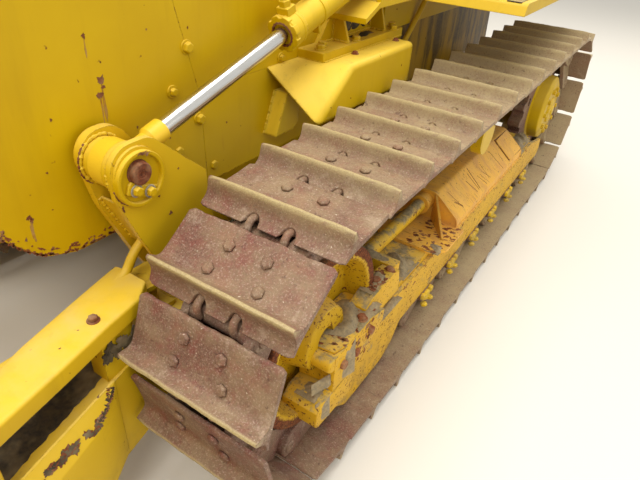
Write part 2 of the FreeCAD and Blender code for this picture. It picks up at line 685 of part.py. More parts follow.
# Dash console, floor, seat and their boxes
dash = new_body("dash_console")
pad(dash, "X", [(S.dash_y + 0.3, S.deck_z + 0.3), (S.dash_y + 200, S.deck_z + 0.3), (S.dash_y + 200, 1400, 30),
                (S.dash_y + 150, 1560, 40), (S.dash_y + 0.3, S.hood_z + 60, 40)], -(S.hull_half - 20), S.hull_half - 20)
pocket(dash, "X", [(S.dash_y + 90, S.deck_z - 1), (S.dash_y + 90, 1300, 30), (S.dash_y + 201, 1340), (S.dash_y + 201, S.deck_z - 1)],
       -(S.hull_half - 60), S.hull_half - 60)
node(dash)
node(prism("floor_deck", "X", rect(S.dash_y + 200.6, 880, S.deck_z + 0.3, S.deck_z + 40), -S.hull_half, S.hull_half))
seat_base = prism("seat_base", "X", rect(520, 820, S.deck_z + 40.3, 1240, 30), -200, 200)
cushion = prism("seat_cushion", "X", [(440, 1240.3, 20), (860, 1240.3, 20), (860, 1330, 30), (440, 1370, 50)], -255, 255)
back = prism("seat_back", "X", [(845, 1260, 10), (950, 1260, 20), (1010, 1800, 50), (930, 1800, 50)], -235, 235)
node(fused("seat", [seat_base, cushion, back]))

# Fenders over the tracks with their arm rest boxes
fender = new_body("fender_left")
fender_x1 = 1010
fender_top = 1190
top_sheet = [(330, fender_top - 40), (1560, fender_top - 40), (1920, fender_top - 90), (1920, fender_top - 50, 20),
             (1580, fender_top, 30), (350, fender_top, 20)]
pad(fender, "X", top_sheet, S.hull_half + 0.3, fender_x1)
skirt_sheet = [(980, 1040, 20), (1500, 1030, 40), (1880, 1110, 10), (1900, fender_top - 85), (1560, fender_top - 38),
               (980, fender_top - 38)]
pad(fender, "X", skirt_sheet, 655, 667)
arm_box = [(500, fender_top), (1150, fender_top), (1150, 1330, 30), (520, 1330, 50)]
pad(fender, "X", arm_box, S.hull_half + 0.3, 640)
inner_wall = [(371, S.deck_z + 0.3), (1540, S.deck_z + 0.3), (1540, fender_top - 38), (371, fender_top - 38)]
pad(fender, "X", inner_wall, S.hull_half + 0.3, S.hull_half + 14)
node(grouped("fenders", [fender, mirrored(fender)]))

# Rear tank behind the seat
tank = new_body("rear_tank")
pad(tank, "X", [(1150, S.deck_z + 0.3), (1816, S.deck_z + 0.3), (1850, 1120, 20), (1990, 1180, 40), (1960, 1620, 70),
                (1330, 1660, 70), (1150, 1560, 40)], -(S.hull_half - 1), S.hull_half - 1)
node(tank)

# Roll-over canopy: four posts, top rails and a roof
posts = []
post_x = 560
for y in (370, 1500):
    foot = prism("canopy_foot", "Z", rect(post_x - 90, post_x + 90, y - 80, y + 80, 15), fender_top + 0.3, fender_top + 20)
    upright = prism("canopy_post", "Z", rect(post_x - 50, post_x + 50, y - 50, y + 50, 14), fender_top + 20, S.canopy_z - 160)
    posts += [foot, mirrored(foot), upright, mirrored(upright)]
rail_z0, rail_z1 = S.canopy_z - 160, S.canopy_z - 60
for y in (370, 1500):
    posts.append(prism("canopy_cross_rail", "X", rect(y - 50, y + 50, rail_z0, rail_z1, 14), -(post_x + 50), post_x + 50))
side_rail = prism("canopy_side_rail", "Y", rect(post_x - 50, post_x + 50, rail_z0, rail_z1, 14), 320, 1550)
posts += [side_rail, mirrored(side_rail)]
node(fused("canopy_frame", posts))
roof = new_body("canopy_roof")
pad(roof, "X", [(250, S.canopy_z - 59.7, 10), (1640, S.canopy_z - 59.7, 10), (1640, S.canopy_z - 30, 20), (1560, S.canopy_z, 60),
                (330, S.canopy_z, 60), (250, S.canopy_z - 30, 20)], -690, 690)
node(roof)

# Lamps under the roof's front and rear edges
lamp_items = []
for y in (278, 1592):
    body = new_body("lamp")
    pad(body, "X", [(y - 36, S.canopy_z - 180, 12), (y + 36, S.canopy_z - 180, 12), (y + 36, S.canopy_z - 75, 12),
                    (y - 36, S.canopy_z - 75, 12)], 380, 500)
    pad(body, "Z", rect(425, 455, y - 12, y + 12), S.canopy_z - 76, S.canopy_z - 60)
    lamp_items += [body, mirrored(body)]
node(grouped("lamps", lamp_items))

# Guard boxes over the inner track edges: a folded sheet whose front is one slanting facet
def hulled(label, points, faces):
    """A solid between flat faces, from its corners."""
    made = doc.addObject("Part::Feature", label)
    corners = [Vector(*[float(c) for c in point]) for point in points]
    sheets = [Part.Face(Part.makePolygon([corners[k] for k in face] + [corners[face[0]]])) for face in faces]
    made.Shape = Part.Solid(Part.Shell(sheets))
    return made


box_x1 = 632
box_y0, box_y1 = -369, 300
box_top, box_low = 1004, 856
hull_x = S.hull_half + 0.3
# columns: x, y, z of the corners
corners = [(hull_x, box_y0, box_top), (box_x1, -146, box_top), (box_x1, box_y1, box_top), (hull_x, box_y1, box_top),
           (hull_x, box_y0, box_low), (box_x1, -348, box_low), (box_x1, box_y1, box_low), (hull_x, box_y1, box_low)]
faces = [(0, 1, 2, 3), (0, 5, 1), (0, 4, 5), (1, 5, 6, 2), (2, 6, 7, 3), (0, 3, 7, 4), (4, 7, 6, 5)]
inside = [(x - 6, y - 3, z - 6) for x, y, z in corners]
sheet_box = cut("side_box_sheet", hulled("side_box_outer", corners, faces), hulled("side_box_inner", inside, faces))
rib = prism("side_box_rib", "X", [(-330, 925), (-262, 925), (-262, 815), (-290, 792), (-386, 792)], hull_x, 500)
node(grouped("side_boxes", [sheet_box, rib, mirrored(sheet_box), mirrored(rib)]))

# Lift cylinder supports: base plate, web with gussets, and a saddle with two ears for the trunnion
support = new_body("cylinder_support")
base_z0, base_z1 = box_top + 0.3, box_top + 30
saddle_z = 1152
pad(support, "X", rect(-205, 370, base_z0, base_z1, 4), hull_x, S.arm_x + 10)
pad(support, "X", [(-110, base_z1 - 1), (330, base_z1 - 1), (330, saddle_z + 1), (30, saddle_z + 1), (-40, 1122)],
    hull_x, hull_x + 18)
pad(support, "X", [(-60, 1112), (30, saddle_z), (320, saddle_z, 30), (320, saddle_z + 18, 8), (30, saddle_z + 18), (-60, 1130)],
    hull_x, S.arm_x + 74)
for y, top in ((-20, 1131), (250, saddle_z + 1)):
    pad(support, "Y", [(hull_x + 17, base_z1 - 1), (S.arm_x - 4, base_z1 - 1), (S.arm_x - 40, top), (hull_x + 17, top)],
        y - 6, y + 6)
ear = [(S.trunnion_y - 70, saddle_z + 10), (S.trunnion_y + 120, saddle_z + 10), (S.trunnion_y + 60, S.trunnion_z - 10, 40),
       (S.trunnion_y + 60, S.trunnion_z + 60, 58), (S.trunnion_y - 60, S.trunnion_z + 60, 58),
       (S.trunnion_y - 60, S.trunnion_z - 10, 40)]
for x0, x1 in ((hull_x, hull_x + 18), (S.arm_x + 57, S.arm_x + 74)):
    pad(support, "X", [ear, disc(S.trunnion_y, S.trunnion_z, 28.05)], x0, x1)
node(grouped("cylinder_supports", [support, mirrored(support)]))

# Push frame: two arms flared forward to a swept cross beam, and a tower on each for the lift cylinder
def arm_centre(y):
    return S.arm_x + S.arm_flare * (S.arm_bend_y - y)


arm_y0 = S.beam_y0 + S.beam_sweep
beam_half = arm_centre(arm_y0) + S.arm_half
top0, top1, top2 = S.pivot_z + 100, 507, 440
low0, low1, low2 = S.pivot_z - 95, 225, 185
side = [(S.pivot_y + 95, S.pivot_z - 60, 60), (S.pivot_y + 95, S.pivot_z + 60, 60), (S.pivot_y, top0, 60),
        (S.arm_bend_y, top1), (arm_y0, top2), (arm_y0, low2), (S.arm_bend_y, low1),
        (S.pivot_y - 200, low0 - 10), (S.pivot_y, low0, 60)]
plan = [(S.arm_x - S.arm_half, S.pivot_y + 110), (S.arm_x + S.arm_half, S.pivot_y + 110),
        (S.arm_x + S.arm_half, S.arm_bend_y), (beam_half, arm_y0), (beam_half - 2 * S.arm_half, arm_y0),
        (S.arm_x - S.arm_half, S.arm_bend_y)]
arm_side = prism("arm_side", "X", side, 300, 900)
arm_plan = prism("arm_plan", "Z", plan, 100, 700)
arm_blank = common("push_arm_blank", arm_side, arm_plan)
arm_bore = prism("arm_bore", "X", disc(S.pivot_y, S.pivot_z, 38.05), 300, 900)
arm = cut("push_arm", arm_blank, arm_bore)
tower_half = 47
tower_in = S.arm_x - tower_half
tower_out = S.arm_x + tower_half
eye_half = 24
lobe = 62
outer_plate = [(-905, 495), (-1030, 769, 20), (-1079, 889), (S.pin_y - lobe - 8, S.pin_z + lobe + 4, lobe - 3),
               (S.pin_y + lobe - 14, S.pin_z + lobe + 8, lobe - 2), (-808, 868, 18), (-806, 820, 60), (-752, 495)]
inner_plate = [(-880, 495), (-969, 646), (-1047, 825, 60), (S.pin_y - lobe - 8, S.pin_z + lobe + 4, lobe - 3),
               (S.pin_y + lobe - 14, S.pin_z + lobe + 8, lobe - 2), (-860, 860, 60), (-770, 495)]
left_side = [arm]
for outline, x0, x1 in ((inner_plate, tower_in - 23, tower_in), (outer_plate, tower_out, tower_out + 16)):
    left_side.append(prism("tower_plate", "X", [outline, disc(S.pin_y, S.pin_z, 28.05)], x0, x1))
for x0, x1, radius in ((S.arm_x + eye_half + 1, tower_out + 23, lobe - 2), (tower_in - 1, S.arm_x - eye_half - 1, 52)):
    left_side.append(prism("tower_boss", "X", [disc(S.pin_y, S.pin_z, radius), disc(S.pin_y, S.pin_z, 40)], x0, x1))
for x0, x1 in ((S.arm_x + eye_half + 1, tower_out + 8), (tower_in - 23, S.arm_x - eye_half - 1)):
    left_side.append(prism("tower_pin", "X", disc(S.pin_y, S.pin_z, 28.05), x0, x1))
    left_side.append(prism("tower_pin_seat", "X", disc(S.pin_y, S.pin_z, 41), x0 + 2, x1 - 8))
left_side.append(prism("tower_front_web", "X", [(-1044, 850), (-1036, 850), (-966, 700), (-974, 700)],
                       tower_in - 1, tower_out + 1))
left_side.append(prism("tower_rear_web", "X", rect(-830, -816, 490, 810), tower_in - 1, tower_out + 1))
for z in (S.angle_z - 50, S.angle_z + 36):
    left_side.append(prism("angle_lug", "Z", [rect(tower_in - 1, tower_out + 1, S.angle_y1 - 40, S.angle_y1 + 60),
                                              disc(S.arm_x, S.angle_y1, 20.05)], z, z + 14))
beam_plan = [(-250, S.beam_y0, 60), (250, S.beam_y0, 60), (beam_half, arm_y0, 20), (beam_half, arm_y0 + 90),
             (beam_half - 2 * S.arm_half, arm_y0 + S.beam_t), (250, S.beam_y0 + S.beam_t, 60),
             (-250, S.beam_y0 + S.beam_t, 60), (-beam_half + 2 * S.arm_half, arm_y0 + S.beam_t),
             (-beam_half, arm_y0 + 90), (-beam_half, arm_y0, 20)]
beam = prism("push_beam", "Z", beam_plan, 185, 430)
king_hole = disc(0, S.king_y, 40.05)
lugs = [prism("king_lug", "Z", [[(-74, S.beam_y0 + 30), (-74, S.king_y - 74, 73.9), (74, S.king_y - 74, 73.9),
                                 (74, S.beam_y0 + 30)], king_hole], z, z + 45) for z in (205, 385)]
node(fused("push_frame", left_side + [mirrored(item) for item in left_side] + [beam] + lugs))

# Cylinder covers: folded channels on posts over the push arms, ahead of the towers
cover_a, cover_b = S.pin_y - 90, -1600
cover_top_a, cover_top_b = 690, 650
outer_plan = [(arm_centre(cover_a) - 30, cover_a), (arm_centre(cover_a) + S.arm_half, cover_a),
              (arm_centre(cover_b) + S.arm_half, cover_b), (arm_centre(cover_b) - 30, cover_b)]
inner_plan = [(arm_centre(cover_a) - 22, cover_a + 10), (arm_centre(cover_a) + S.arm_half - 8, cover_a + 10),
              (arm_centre(cover_b) + S.arm_half - 8, cover_b - 10), (arm_centre(cover_b) - 22, cover_b - 10)]
outer_block = common("cover_outer", prism("cover_outer_side", "X", [
    (cover_a, cover_top_a), (cover_b, cover_top_b), (cover_b, cover_top_b - 72), (cover_a, cover_top_a - 72)], 400, 900),
    prism("cover_outer_plan", "Z", outer_plan, 400, 800))
inner_block = common("cover_inner", prism("cover_inner_side", "X", [
    (cover_a + 10, cover_top_a - 7), (cover_b - 10, cover_top_b - 9), (cover_b - 10, cover_top_b - 90),
    (cover_a + 10, cover_top_a - 90)], 400, 900), prism("cover_inner_plan", "Z", inner_plan, 400, 800))
cover_sheet = cut("cylinder_cover_sheet", outer_block, inner_block)
cover_parts = [cover_sheet]
for y in (cover_a - 60, cover_b + 70):
    share = (y - cover_a) / (cover_b - cover_a)
    x = arm_centre(y) + S.arm_half - 6
    arm_top = top1 + (top2 - top1) * (S.arm_bend_y - y) / (S.arm_bend_y - arm_y0)
    cover_parts.append(prism("cover_post", "X", rect(y - 16, y + 16, arm_top + 1.9, cover_top_a - 40 - 40 * share), x - 16, x - 1))
cover_left = fused("cylinder_cover", cover_parts)
node(grouped("cylinder_covers", [cover_left, mirrored(cover_left)]))

# Swivel frame: turns on the king pin and carries the blade on a lengthwise pin
face_y = S.king_y - 79
bar_t = 35
bar_y0 = face_y - bar_t
swivel = new_body("swivel_frame")
pad(swivel, "Z", disc(0, S.king_y, 39.95), 180, 455)
pad(swivel, "Z", disc(0, S.king_y, 56), 251, 384)
pad(swivel, "Y", rect(-165, 165, 256, 379, 20), face_y, S.king_y - 24)
bar_outline = [(-90, 256, 10), (90, 256, 10), (90, 490, 30), (S.arm_x + 55, 505, 30), (S.arm_x + 55, 612, 20),
               (-S.arm_x - 55, 612, 20), (-S.arm_x - 55, 505, 30), (-90, 490, 30)]
pad(swivel, "Y", bar_outline, bar_y0, face_y)
pad(swivel, "Y", disc(0, S.tilt_z, 39.95), bar_y0 - 62, bar_y0)
for side in (1, -1):
    for z in (S.angle_z - 50, S.angle_z + 38):
        lug = rect(side * S.arm_x - 40, side * S.arm_x + 40, bar_y0 + 5, S.angle_y0 + 40, 30)
        pad(swivel, "Z", lug, z, z + 12)
tilt_x0, tilt_x1 = -400, 160
pad(swivel, "Y", [(tilt_x0 - 60, 600), (tilt_x0 + 60, 600), (tilt_x0 + 38, S.tilt_pin_z + 38, 37),
                  (tilt_x0 - 38, S.tilt_pin_z + 38, 37)], bar_y0, face_y)
pad(swivel, "Y", disc(tilt_x0, S.tilt_pin_z, 19.95), S.tilt_y - 34, bar_y0)
node(swivel)

# Blade: a curved mouldboard with rails, ribs and the tilt hub on its back
blade = new_body("blade")
front_face = [(-2171.7, 100), (-2167.7, 150), (-2052, 560, 1000), (-2150, 985)]
back_face = [(-2134, 985), (-2036, 560, 1016), (-2150, 150), (-2154, 100)]
pad(blade, "X", front_face + back_face, -S.blade_half, S.blade_half)
pad(blade, "X", [(-2153, 985), (-2148, 930), (-2070, 930, 12), (-2070, S.blade_z, 12), (-2150, S.blade_z, 6)],
    -S.blade_half, S.blade_half)
pad(blade, "X", [(-2156, 101), (-2070, 140, 20), (-2058, 300, 20), (-2106, 330), (-2152, 150)],
    -S.blade_half, S.blade_half)
tall_rib = [(-2150, 140), (-2060, 560), (-2140, 960), (-2080, 960), (-2004, 780, 40), (-2004, 260, 40), (-2080, 140)]
low_rib = [(-2150, 140), (-2060, 560), (-2060, 630), (-2004, 590, 20), (-2004, 220, 40), (-2080, 140)]
end_rib = [(-2150, 101), (-2052, 560, 300), (-2145, 990), (-2060, 990, 20), (-2004, 860, 40), (-2004, 260, 40), (-2090, 101)]
for x0, outline in ((110, low_rib), (560, tall_rib), (1000, tall_rib), (S.blade_half - 16, end_rib)):
    pad(blade, "X", outline, x0, x0 + 16)
    pad(blade, "X", outline, -(x0 + 16), -x0)
pad(blade, "Y", [disc(0, S.tilt_z, 62), disc(0, S.tilt_z, 40.05)], -2090, bar_y0 - 0.5)
pad(blade, "Y", rect(-112, 112, 250, 378), -2095, -2044)
pocket(blade, "Y", disc(0, S.tilt_z, 40.05), -2044.1, bar_y0)
pad(blade, "Y", rect(tilt_x1 - 45, tilt_x1 + 45, 640, 740, 20), -2075, S.tilt_y - 35)
pad(blade, "Y", disc(tilt_x1, S.tilt_pin_z, 19.95), S.tilt_y - 36, S.tilt_y + 40)
node(blade)

# Cutting edge between two end bits
edge = prism("edge_middle", "X", [(S.front_y, 0), (-2188, 150), (-2168, 150), (-2180, 0)], -1216, 1216)
bit = prism("end_bit", "X", [(S.front_y, 0), (-2188, 150), (-2144, 300), (-2125.7, 300), (-2168, 150), (-2180, 0)],
            1216.5, S.blade_half + 18)
node(grouped("cutting_edge", [edge, bit, mirrored(bit)]))


# Hydraulic cylinders: barrel with its eye or trunnion, and a rod with a piston and an eye
def turned_on(label, start, end, outline):
    """A turned piece on the line from one pin to another: outline in (distance from start, radius)."""
    a, b = Vector(*[float(c) for c in start]), Vector(*[float(c) for c in end])
    body = turned(label, "X", outline, (0, 0, 0))
    for prop in ("x", "y", "z"):
        body.setExpression(f"Placement.Base.{prop}", None)
    body.Placement = FreeCAD.Placement(a, FreeCAD.Rotation(Vector(1, 0, 0), b - a))
    return body


def eye(label, centre, axis, radius, bore, half_width):
    """A bored ring across a pin."""
    outline = [(-half_width, bore), (-half_width, radius), (half_width, radius), (half_width, bore)]
    ring = turned(label, axis, outline, centre)
    return ring


# Lift cylinders, one beside each hull side
pin_point = (S.arm_x, S.pin_y, S.pin_z)
trunnion = (S.arm_x, S.trunnion_y, S.trunnion_z)
lift_length = math.dist([float(c) for c in pin_point], [float(c) for c in trunnion])
gland = 637
barrel_end = gland + 640
lift_r, lift_bore, lift_rod = S.lift_bore_r, S.lift_bore_r - 8, S.lift_rod_r
barrel_outline = [(gland, lift_rod + 0.05), (gland, 50, 4), (gland + 46, 50, 4), (gland + 46, lift_r), (barrel_end, lift_r, 6),
                  (barrel_end, 0), (barrel_end - 24, 0), (barrel_end - 24, lift_bore), (gland + 40, lift_bore),
                  (gland + 40, lift_rod + 0.05)]
barrel = turned_on("lift_barrel_tube", pin_point, trunnion, barrel_outline)
collar = turned_on("lift_barrel_collar", pin_point, trunnion, [(lift_length - 40, lift_r - 2), (lift_length - 40, 56, 8),
                                                                (lift_length + 40, 56, 8), (lift_length + 40, lift_r - 2)])
stub = turned("lift_trunnion", "X", [(lift_r - 3, 0), (lift_r - 3, 40), (55.5, 40), (55.5, 28), (74, 28), (74, 0)], trunnion)
stub_in = turned("lift_trunnion_in", "X", [(-(lift_r - 3), 0), (-(lift_r - 3), 40), (-67, 40), (-67, 28), (-89, 28), (-89, 0)], trunnion)
barrel_left = fused("lift_barrel_left", [barrel, collar, stub, stub_in])
node(barrel_left)
node(mirrored(barrel_left), "lift_barrel_right")
rod_turned = turned_on("lift_rod_bar", pin_point, trunnion, [(40, 0), (40, 21.5), (92, 21.5), (100, 28, 3), (144, 28, 3), (144, lift_rod), (gland + 170, lift_rod),
                                                            (gland + 170, lift_bore - 0.1), (gland + 200, lift_bore - 0.1), (gland + 200, 0)])
rod_eye = eye("lift_rod_eye", pin_point, "X", 56, 28, eye_half)
rod_left = fused("lift_rod_left", [rod_turned, rod_eye])
node(rod_left)
node(mirrored(rod_left), "lift_rod_right")

# Angle cylinders under the covers
angle_rear = (S.arm_x, S.angle_y1, S.angle_z)
angle_front = (S.arm_x, S.angle_y0, S.angle_z)
ar, ab, ao = S.angle_bore_r, S.angle_bore_r - 7, S.angle_rod_r
angle_gland = 595
angle_barrel = turned_on("angle_barrel_tube", angle_rear, angle_front, [
    (28, 0), (28, 32), (45, 32), (45, ar, 6), (angle_gland - 40, ar), (angle_gland - 40, ar + 5, 3), (angle_gland, ar + 5, 3), (angle_gland, ao + 0.05),
    (angle_gland - 34, ao + 0.05), (angle_gland - 34, ab), (60, ab), (60, 0)])
angle_eye = eye("angle_barrel_eye", angle_rear, "Z", 34, 0, 35.5)
angle_pin = turned("angle_barrel_pin", "Z", [(-50, 0), (-50, 20), (50, 20), (50, 0)], angle_rear)
angle_barrel_left = fused("angle_barrel_left", [angle_barrel, angle_eye, angle_pin])
node(angle_barrel_left)
node(mirrored(angle_barrel_left), "angle_barrel_right")
angle_length = float(S.angle_y1 - S.angle_y0)
angle_rod = turned_on("angle_rod_bar", angle_rear, angle_front, [
    (300, 0), (300, ab - 0.1), (322, ab - 0.1), (322, ao), (angle_length - 26, ao), (angle_length - 26, 0)])
angle_rod_eye = eye("angle_rod_eye", angle_front, "Z", 33, 20, 37)
angle_rod_left = fused("angle_rod_left", [angle_rod, angle_rod_eye])
node(angle_rod_left)
node(mirrored(angle_rod_left), "angle_rod_right")

# Tilt cylinder across the blade's back
tilt_a = (tilt_x0, S.tilt_y, S.tilt_pin_z)
tilt_b = (tilt_x1, S.tilt_y, S.tilt_pin_z)
tilt_gland = 360
tilt_barrel = turned_on("tilt_barrel_tube", tilt_a, tilt_b, [
    (34, 0), (34, 32, 6), (tilt_gland - 36, 32), (tilt_gland - 36, 32), (tilt_gland, 32, 3), (tilt_gland, 18.05),
    (tilt_gland - 30, 18.05), (tilt_gland - 30, 26), (60, 26), (60, 0)])
tilt_eye = eye("tilt_barrel_eye", tilt_a, "Y", 40, 20, 30)
node(fused("tilt_barrel", [tilt_barrel, tilt_eye]))
tilt_rod = turned_on("tilt_rod_bar", tilt_a, tilt_b, [
    (200, 0), (200, 25.9), (228, 25.9), (228, 18), (522, 18), (522, 0)])
tilt_rod_eye = eye("tilt_rod_eye", tilt_b, "Y", 40, 24, 30)
node(fused("tilt_rod", [tilt_rod, tilt_rod_eye]))

doc.recompute()
for item in NODES:
    if "Invalid" in item.State or "Error" in item.State or item.Shape.isNull() or not item.Shape.isValid():
        print("BAD", item.Label, item.State)
    item.Shape.exportStep(f"parts/{item.Label}.step")
print(len(NODES), "nodes")
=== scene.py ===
# %% [markdown]
# # A crawler bulldozer, dressed from its CAD solids
# The solids come in as a fixed frame: every node already stands at its place, in metres.
# This lesson gives each of them its finish, swaps the plain track shoes for worn ones, and
# adds the small things that a step closer shows: bolts, weld beads, pipes and chipped paint.

# %% Load the frame
import bpy
import bmesh
import math
import random
from mathutils import Matrix, Vector


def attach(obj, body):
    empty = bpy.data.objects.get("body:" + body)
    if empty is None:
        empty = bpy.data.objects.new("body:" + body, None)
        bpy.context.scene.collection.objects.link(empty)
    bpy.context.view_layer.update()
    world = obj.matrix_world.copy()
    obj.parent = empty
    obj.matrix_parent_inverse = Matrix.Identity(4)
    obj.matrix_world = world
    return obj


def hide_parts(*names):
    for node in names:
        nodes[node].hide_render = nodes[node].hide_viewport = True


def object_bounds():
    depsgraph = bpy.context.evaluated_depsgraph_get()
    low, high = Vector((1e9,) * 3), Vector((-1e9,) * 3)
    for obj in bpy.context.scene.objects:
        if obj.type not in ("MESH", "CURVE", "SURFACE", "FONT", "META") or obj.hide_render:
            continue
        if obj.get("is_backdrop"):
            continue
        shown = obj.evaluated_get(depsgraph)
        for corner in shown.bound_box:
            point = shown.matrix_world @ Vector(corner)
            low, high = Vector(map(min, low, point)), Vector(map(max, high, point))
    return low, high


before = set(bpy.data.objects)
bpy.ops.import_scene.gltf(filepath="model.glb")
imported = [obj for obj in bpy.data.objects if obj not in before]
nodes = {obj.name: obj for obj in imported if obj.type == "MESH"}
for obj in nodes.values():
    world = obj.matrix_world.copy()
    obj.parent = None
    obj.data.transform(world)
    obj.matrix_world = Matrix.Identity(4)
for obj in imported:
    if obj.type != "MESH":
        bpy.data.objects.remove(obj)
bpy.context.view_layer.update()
scene = bpy.context.scene

# %% [markdown]
# ## Camera, light and floor
# The picture was taken by somebody standing in front of the left track and looking back
# along it. The lens and the turn of the camera follow from the pitch of the shoes.
# The light is a bright overcast sky, so it is even, with one large soft lamp for shape.

# %% Camera
EYE = Vector((1.4816, -1.6935, 1.4826))
YAW, PITCH, ROLL = math.radians(-31.02), math.radians(33.46), math.radians(4.327)
forward = Vector((math.sin(YAW) * math.cos(PITCH), math.cos(YAW) * math.cos(PITCH), -math.sin(PITCH)))
level = Vector((math.cos(YAW), -math.sin(YAW), 0))
upright = level.cross(forward)
right = level * math.cos(ROLL) + upright * math.sin(ROLL)
top = upright * math.cos(ROLL) - level * math.sin(ROLL)
camera = bpy.data.objects.new("camera", bpy.data.cameras.new("camera"))
scene.collection.objects.link(camera)
camera.matrix_world = Matrix.Translation(EYE) @ Matrix((right, top, -forward)).transposed().to_4x4()
camera.data.sensor_width = 36
camera.data.lens = 535.8 / 640 * 36
camera.data.clip_start = 0.02
camera.data.clip_end = 100
scene.camera = camera
scene.view_settings.view_transform = "Standard"
print("lens", round(camera.data.lens, 2))


# %% Colour and node helpers
def colour(text):
    """An sRGB hex value as linear red, green, blue and alpha."""
    parts = [int(text[i:i + 2], 16) / 255 for i in (0, 2, 4)]
    return tuple(c / 12.92 if c <= 0.04045 else ((c + 0.055) / 1.055) ** 2.4 for c in parts) + (1.0,)


def add(tree, kind, links=None, **settings):
    """Adds a node, sets its settings, and joins or fills its inputs."""
    made = tree.nodes.new(kind)
    for name, value in settings.items():
        setattr(made, name, value)
    for name, value in (links or {}).items():
        socket = made.inputs[name]
        if isinstance(value, bpy.types.Node):
            value = value.outputs[0]
        if isinstance(value, bpy.types.NodeSocket):
            tree.links.new(value, socket)
        else:
            socket.default_value = value
    return made


# %% Sky and lamps
world = bpy.data.worlds.new("sky")
scene.world = world
world.use_nodes = True
sky = world.node_tree
sky.nodes.clear()
rays = add(sky, "ShaderNodeLightPath")
seen = add(sky, "ShaderNodeMath", {0: rays.outputs["Is Camera Ray"], 1: rays.outputs["Is Glossy Ray"]}, operation="MAXIMUM")
overcast = add(sky, "ShaderNodeBackground", {"Color": colour("f2f1ee"), "Strength": 0.80})
pale = add(sky, "ShaderNodeBackground", {"Color": colour("f4f2ee"), "Strength": 0.95})
both = add(sky, "ShaderNodeMixShader", {0: seen, 1: overcast, 2: pale})
add(sky, "ShaderNodeOutputWorld", {"Surface": both})


def lamp(name, place, aim, size, watts, tint):
    data = bpy.data.lights.new(name, "AREA")
    data.shape = "DISK"
    data.size = size
    data.energy = watts
    data.color = colour(tint)[:3]
    holder = bpy.data.objects.new(name, data)
    scene.collection.objects.link(holder)
    holder.location = place
    holder.rotation_euler = (Vector(aim) - Vector(place)).to_track_quat("-Z", "Y").to_euler()
    return holder


lamp("key", (2.6, -5.5, 6.5), (0.5, -0.8, 0.6), 4.0, 320, "fffaf0")
lamp("zenith", (0.4, -0.4, 7.5), (0.4, -0.4, 0.5), 6.0, 430, "fffdf8")
lamp("fill", (-4.5, -5.0, 4.0), (0, 0, 0.8), 5.0, 130, "f0f4ff")
lamp("back", (2.0, 6.0, 5.0), (0, 0.5, 0.8), 4.0, 150, "fffaf2")
lamp("side", (6.0, -0.5, 2.6), (0.6, -0.5, 0.7), 4.0, 42, "fffaf2")

# %% Floor
floor_mesh = bpy.data.meshes.new("floor")
floor_mesh.from_pydata([(-30, -30, 0), (30, -30, 0), (30, 30, 0), (-30, 30, 0)], [], [(0, 1, 2, 3)])
floor = bpy.data.objects.new("floor", floor_mesh)
scene.collection.objects.link(floor)
floor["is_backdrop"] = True
plain = bpy.data.materials.new("pale_floor")
plain.use_nodes = True
plain.node_tree.nodes["Principled BSDF"].inputs["Base Color"].default_value = colour("d9d4ca")
plain.node_tree.nodes["Principled BSDF"].inputs["Roughness"].default_value = 0.9
floor_mesh.materials.append(plain)

# %% [markdown]
# ## The yellow enamel
# An old machine's enamel is two or three coats brushed over each other, so its yellow
# drifts a little from place to place. Weather puts pinholes in it that bleed rust
# downwards, tools and stones knock it off along the edges, and dust lies on whatever
# faces the sky. Each of these is one mask, made from noise at a real size in millimetres,
# and one function lays them over each other, so that every painted piece is aged the
# same way and only the amounts differ.


# %% Masks that every outdoor finish needs
def masks(tree, fold=0.004):
    """Place, eased normal, worn edges, how far a face looks up, and the place split in three."""
    place = add(tree, "ShaderNodeTexCoord").outputs["Object"]
    soft = add(tree, "ShaderNodeBevel", {"Radius": fold}, samples=4)
    face = add(tree, "ShaderNodeNewGeometry")
    look = add(tree, "ShaderNodeVectorMath", {0: soft.outputs[0], 1: face.outputs["True Normal"]}, operation="DOT_PRODUCT")
    edge = add(tree, "ShaderNodeMapRange", {"Value": look.outputs["Value"], "From Min": 0.99, "From Max": 0.80})
    sky_side = add(tree, "ShaderNodeSeparateXYZ", {"Vector": face.outputs["Normal"]}).outputs["Z"]
    height = add(tree, "ShaderNodeSeparateXYZ", {"Vector": place})
    return place, soft.outputs[0], edge.outputs[0], sky_side, height


def noise(tree, place, size_mm, detail=3.0, rough=0.55, stretch=None):
    """Noise whose grain is size_mm across; stretch makes it longer along an axis."""
    if stretch:
        place = add(tree, "ShaderNodeMapping", {"Vector": place, "Scale": stretch}).outputs[0]
    return add(tree, "ShaderNodeTexNoise", {"Vector": place, "Scale": 1000 / size_mm, "Detail": detail,
                                             "Roughness": rough}).outputs["Fac"]


def between(tree, value, low, high, bottom=0.0, top_value=1.0):
    """Spreads value from low..high to bottom..top_value, and stops there."""
    return add(tree, "ShaderNodeMapRange", {"Value": value, "From Min": low, "From Max": high, "To Min": bottom,
                                             "To Max": top_value}).outputs[0]


def times(tree, first, second):
    return add(tree, "ShaderNodeMath", {0: first, 1: second}, operation="MULTIPLY", use_clamp=True).outputs[0]


def plus(tree, first, second):
    return add(tree, "ShaderNodeMath", {0: first, 1: second}, operation="ADD", use_clamp=True).outputs[0]


def over(tree, share, under, above):
    """Lays one colour or number over another by a mask."""
    kind = "RGBA" if isinstance(above, tuple) or getattr(above, "type", "") == "RGBA" else "FLOAT"
    if kind == "RGBA":
        made = add(tree, "ShaderNodeMix", {0: share, 6: under, 7: above}, data_type="RGBA")
        return made.outputs[2]
    made = add(tree, "ShaderNodeMix", {0: share, 2: under, 3: above}, data_type="FLOAT")
    return made.outputs[0]


RUST_DARK, RUST, RUST_BRIGHT = colour("4a2415"), colour("733c1f"), colour("9a5a2b")
DUST, MUD, OIL = colour("c9b184"), colour("86724f"), colour("241d10")


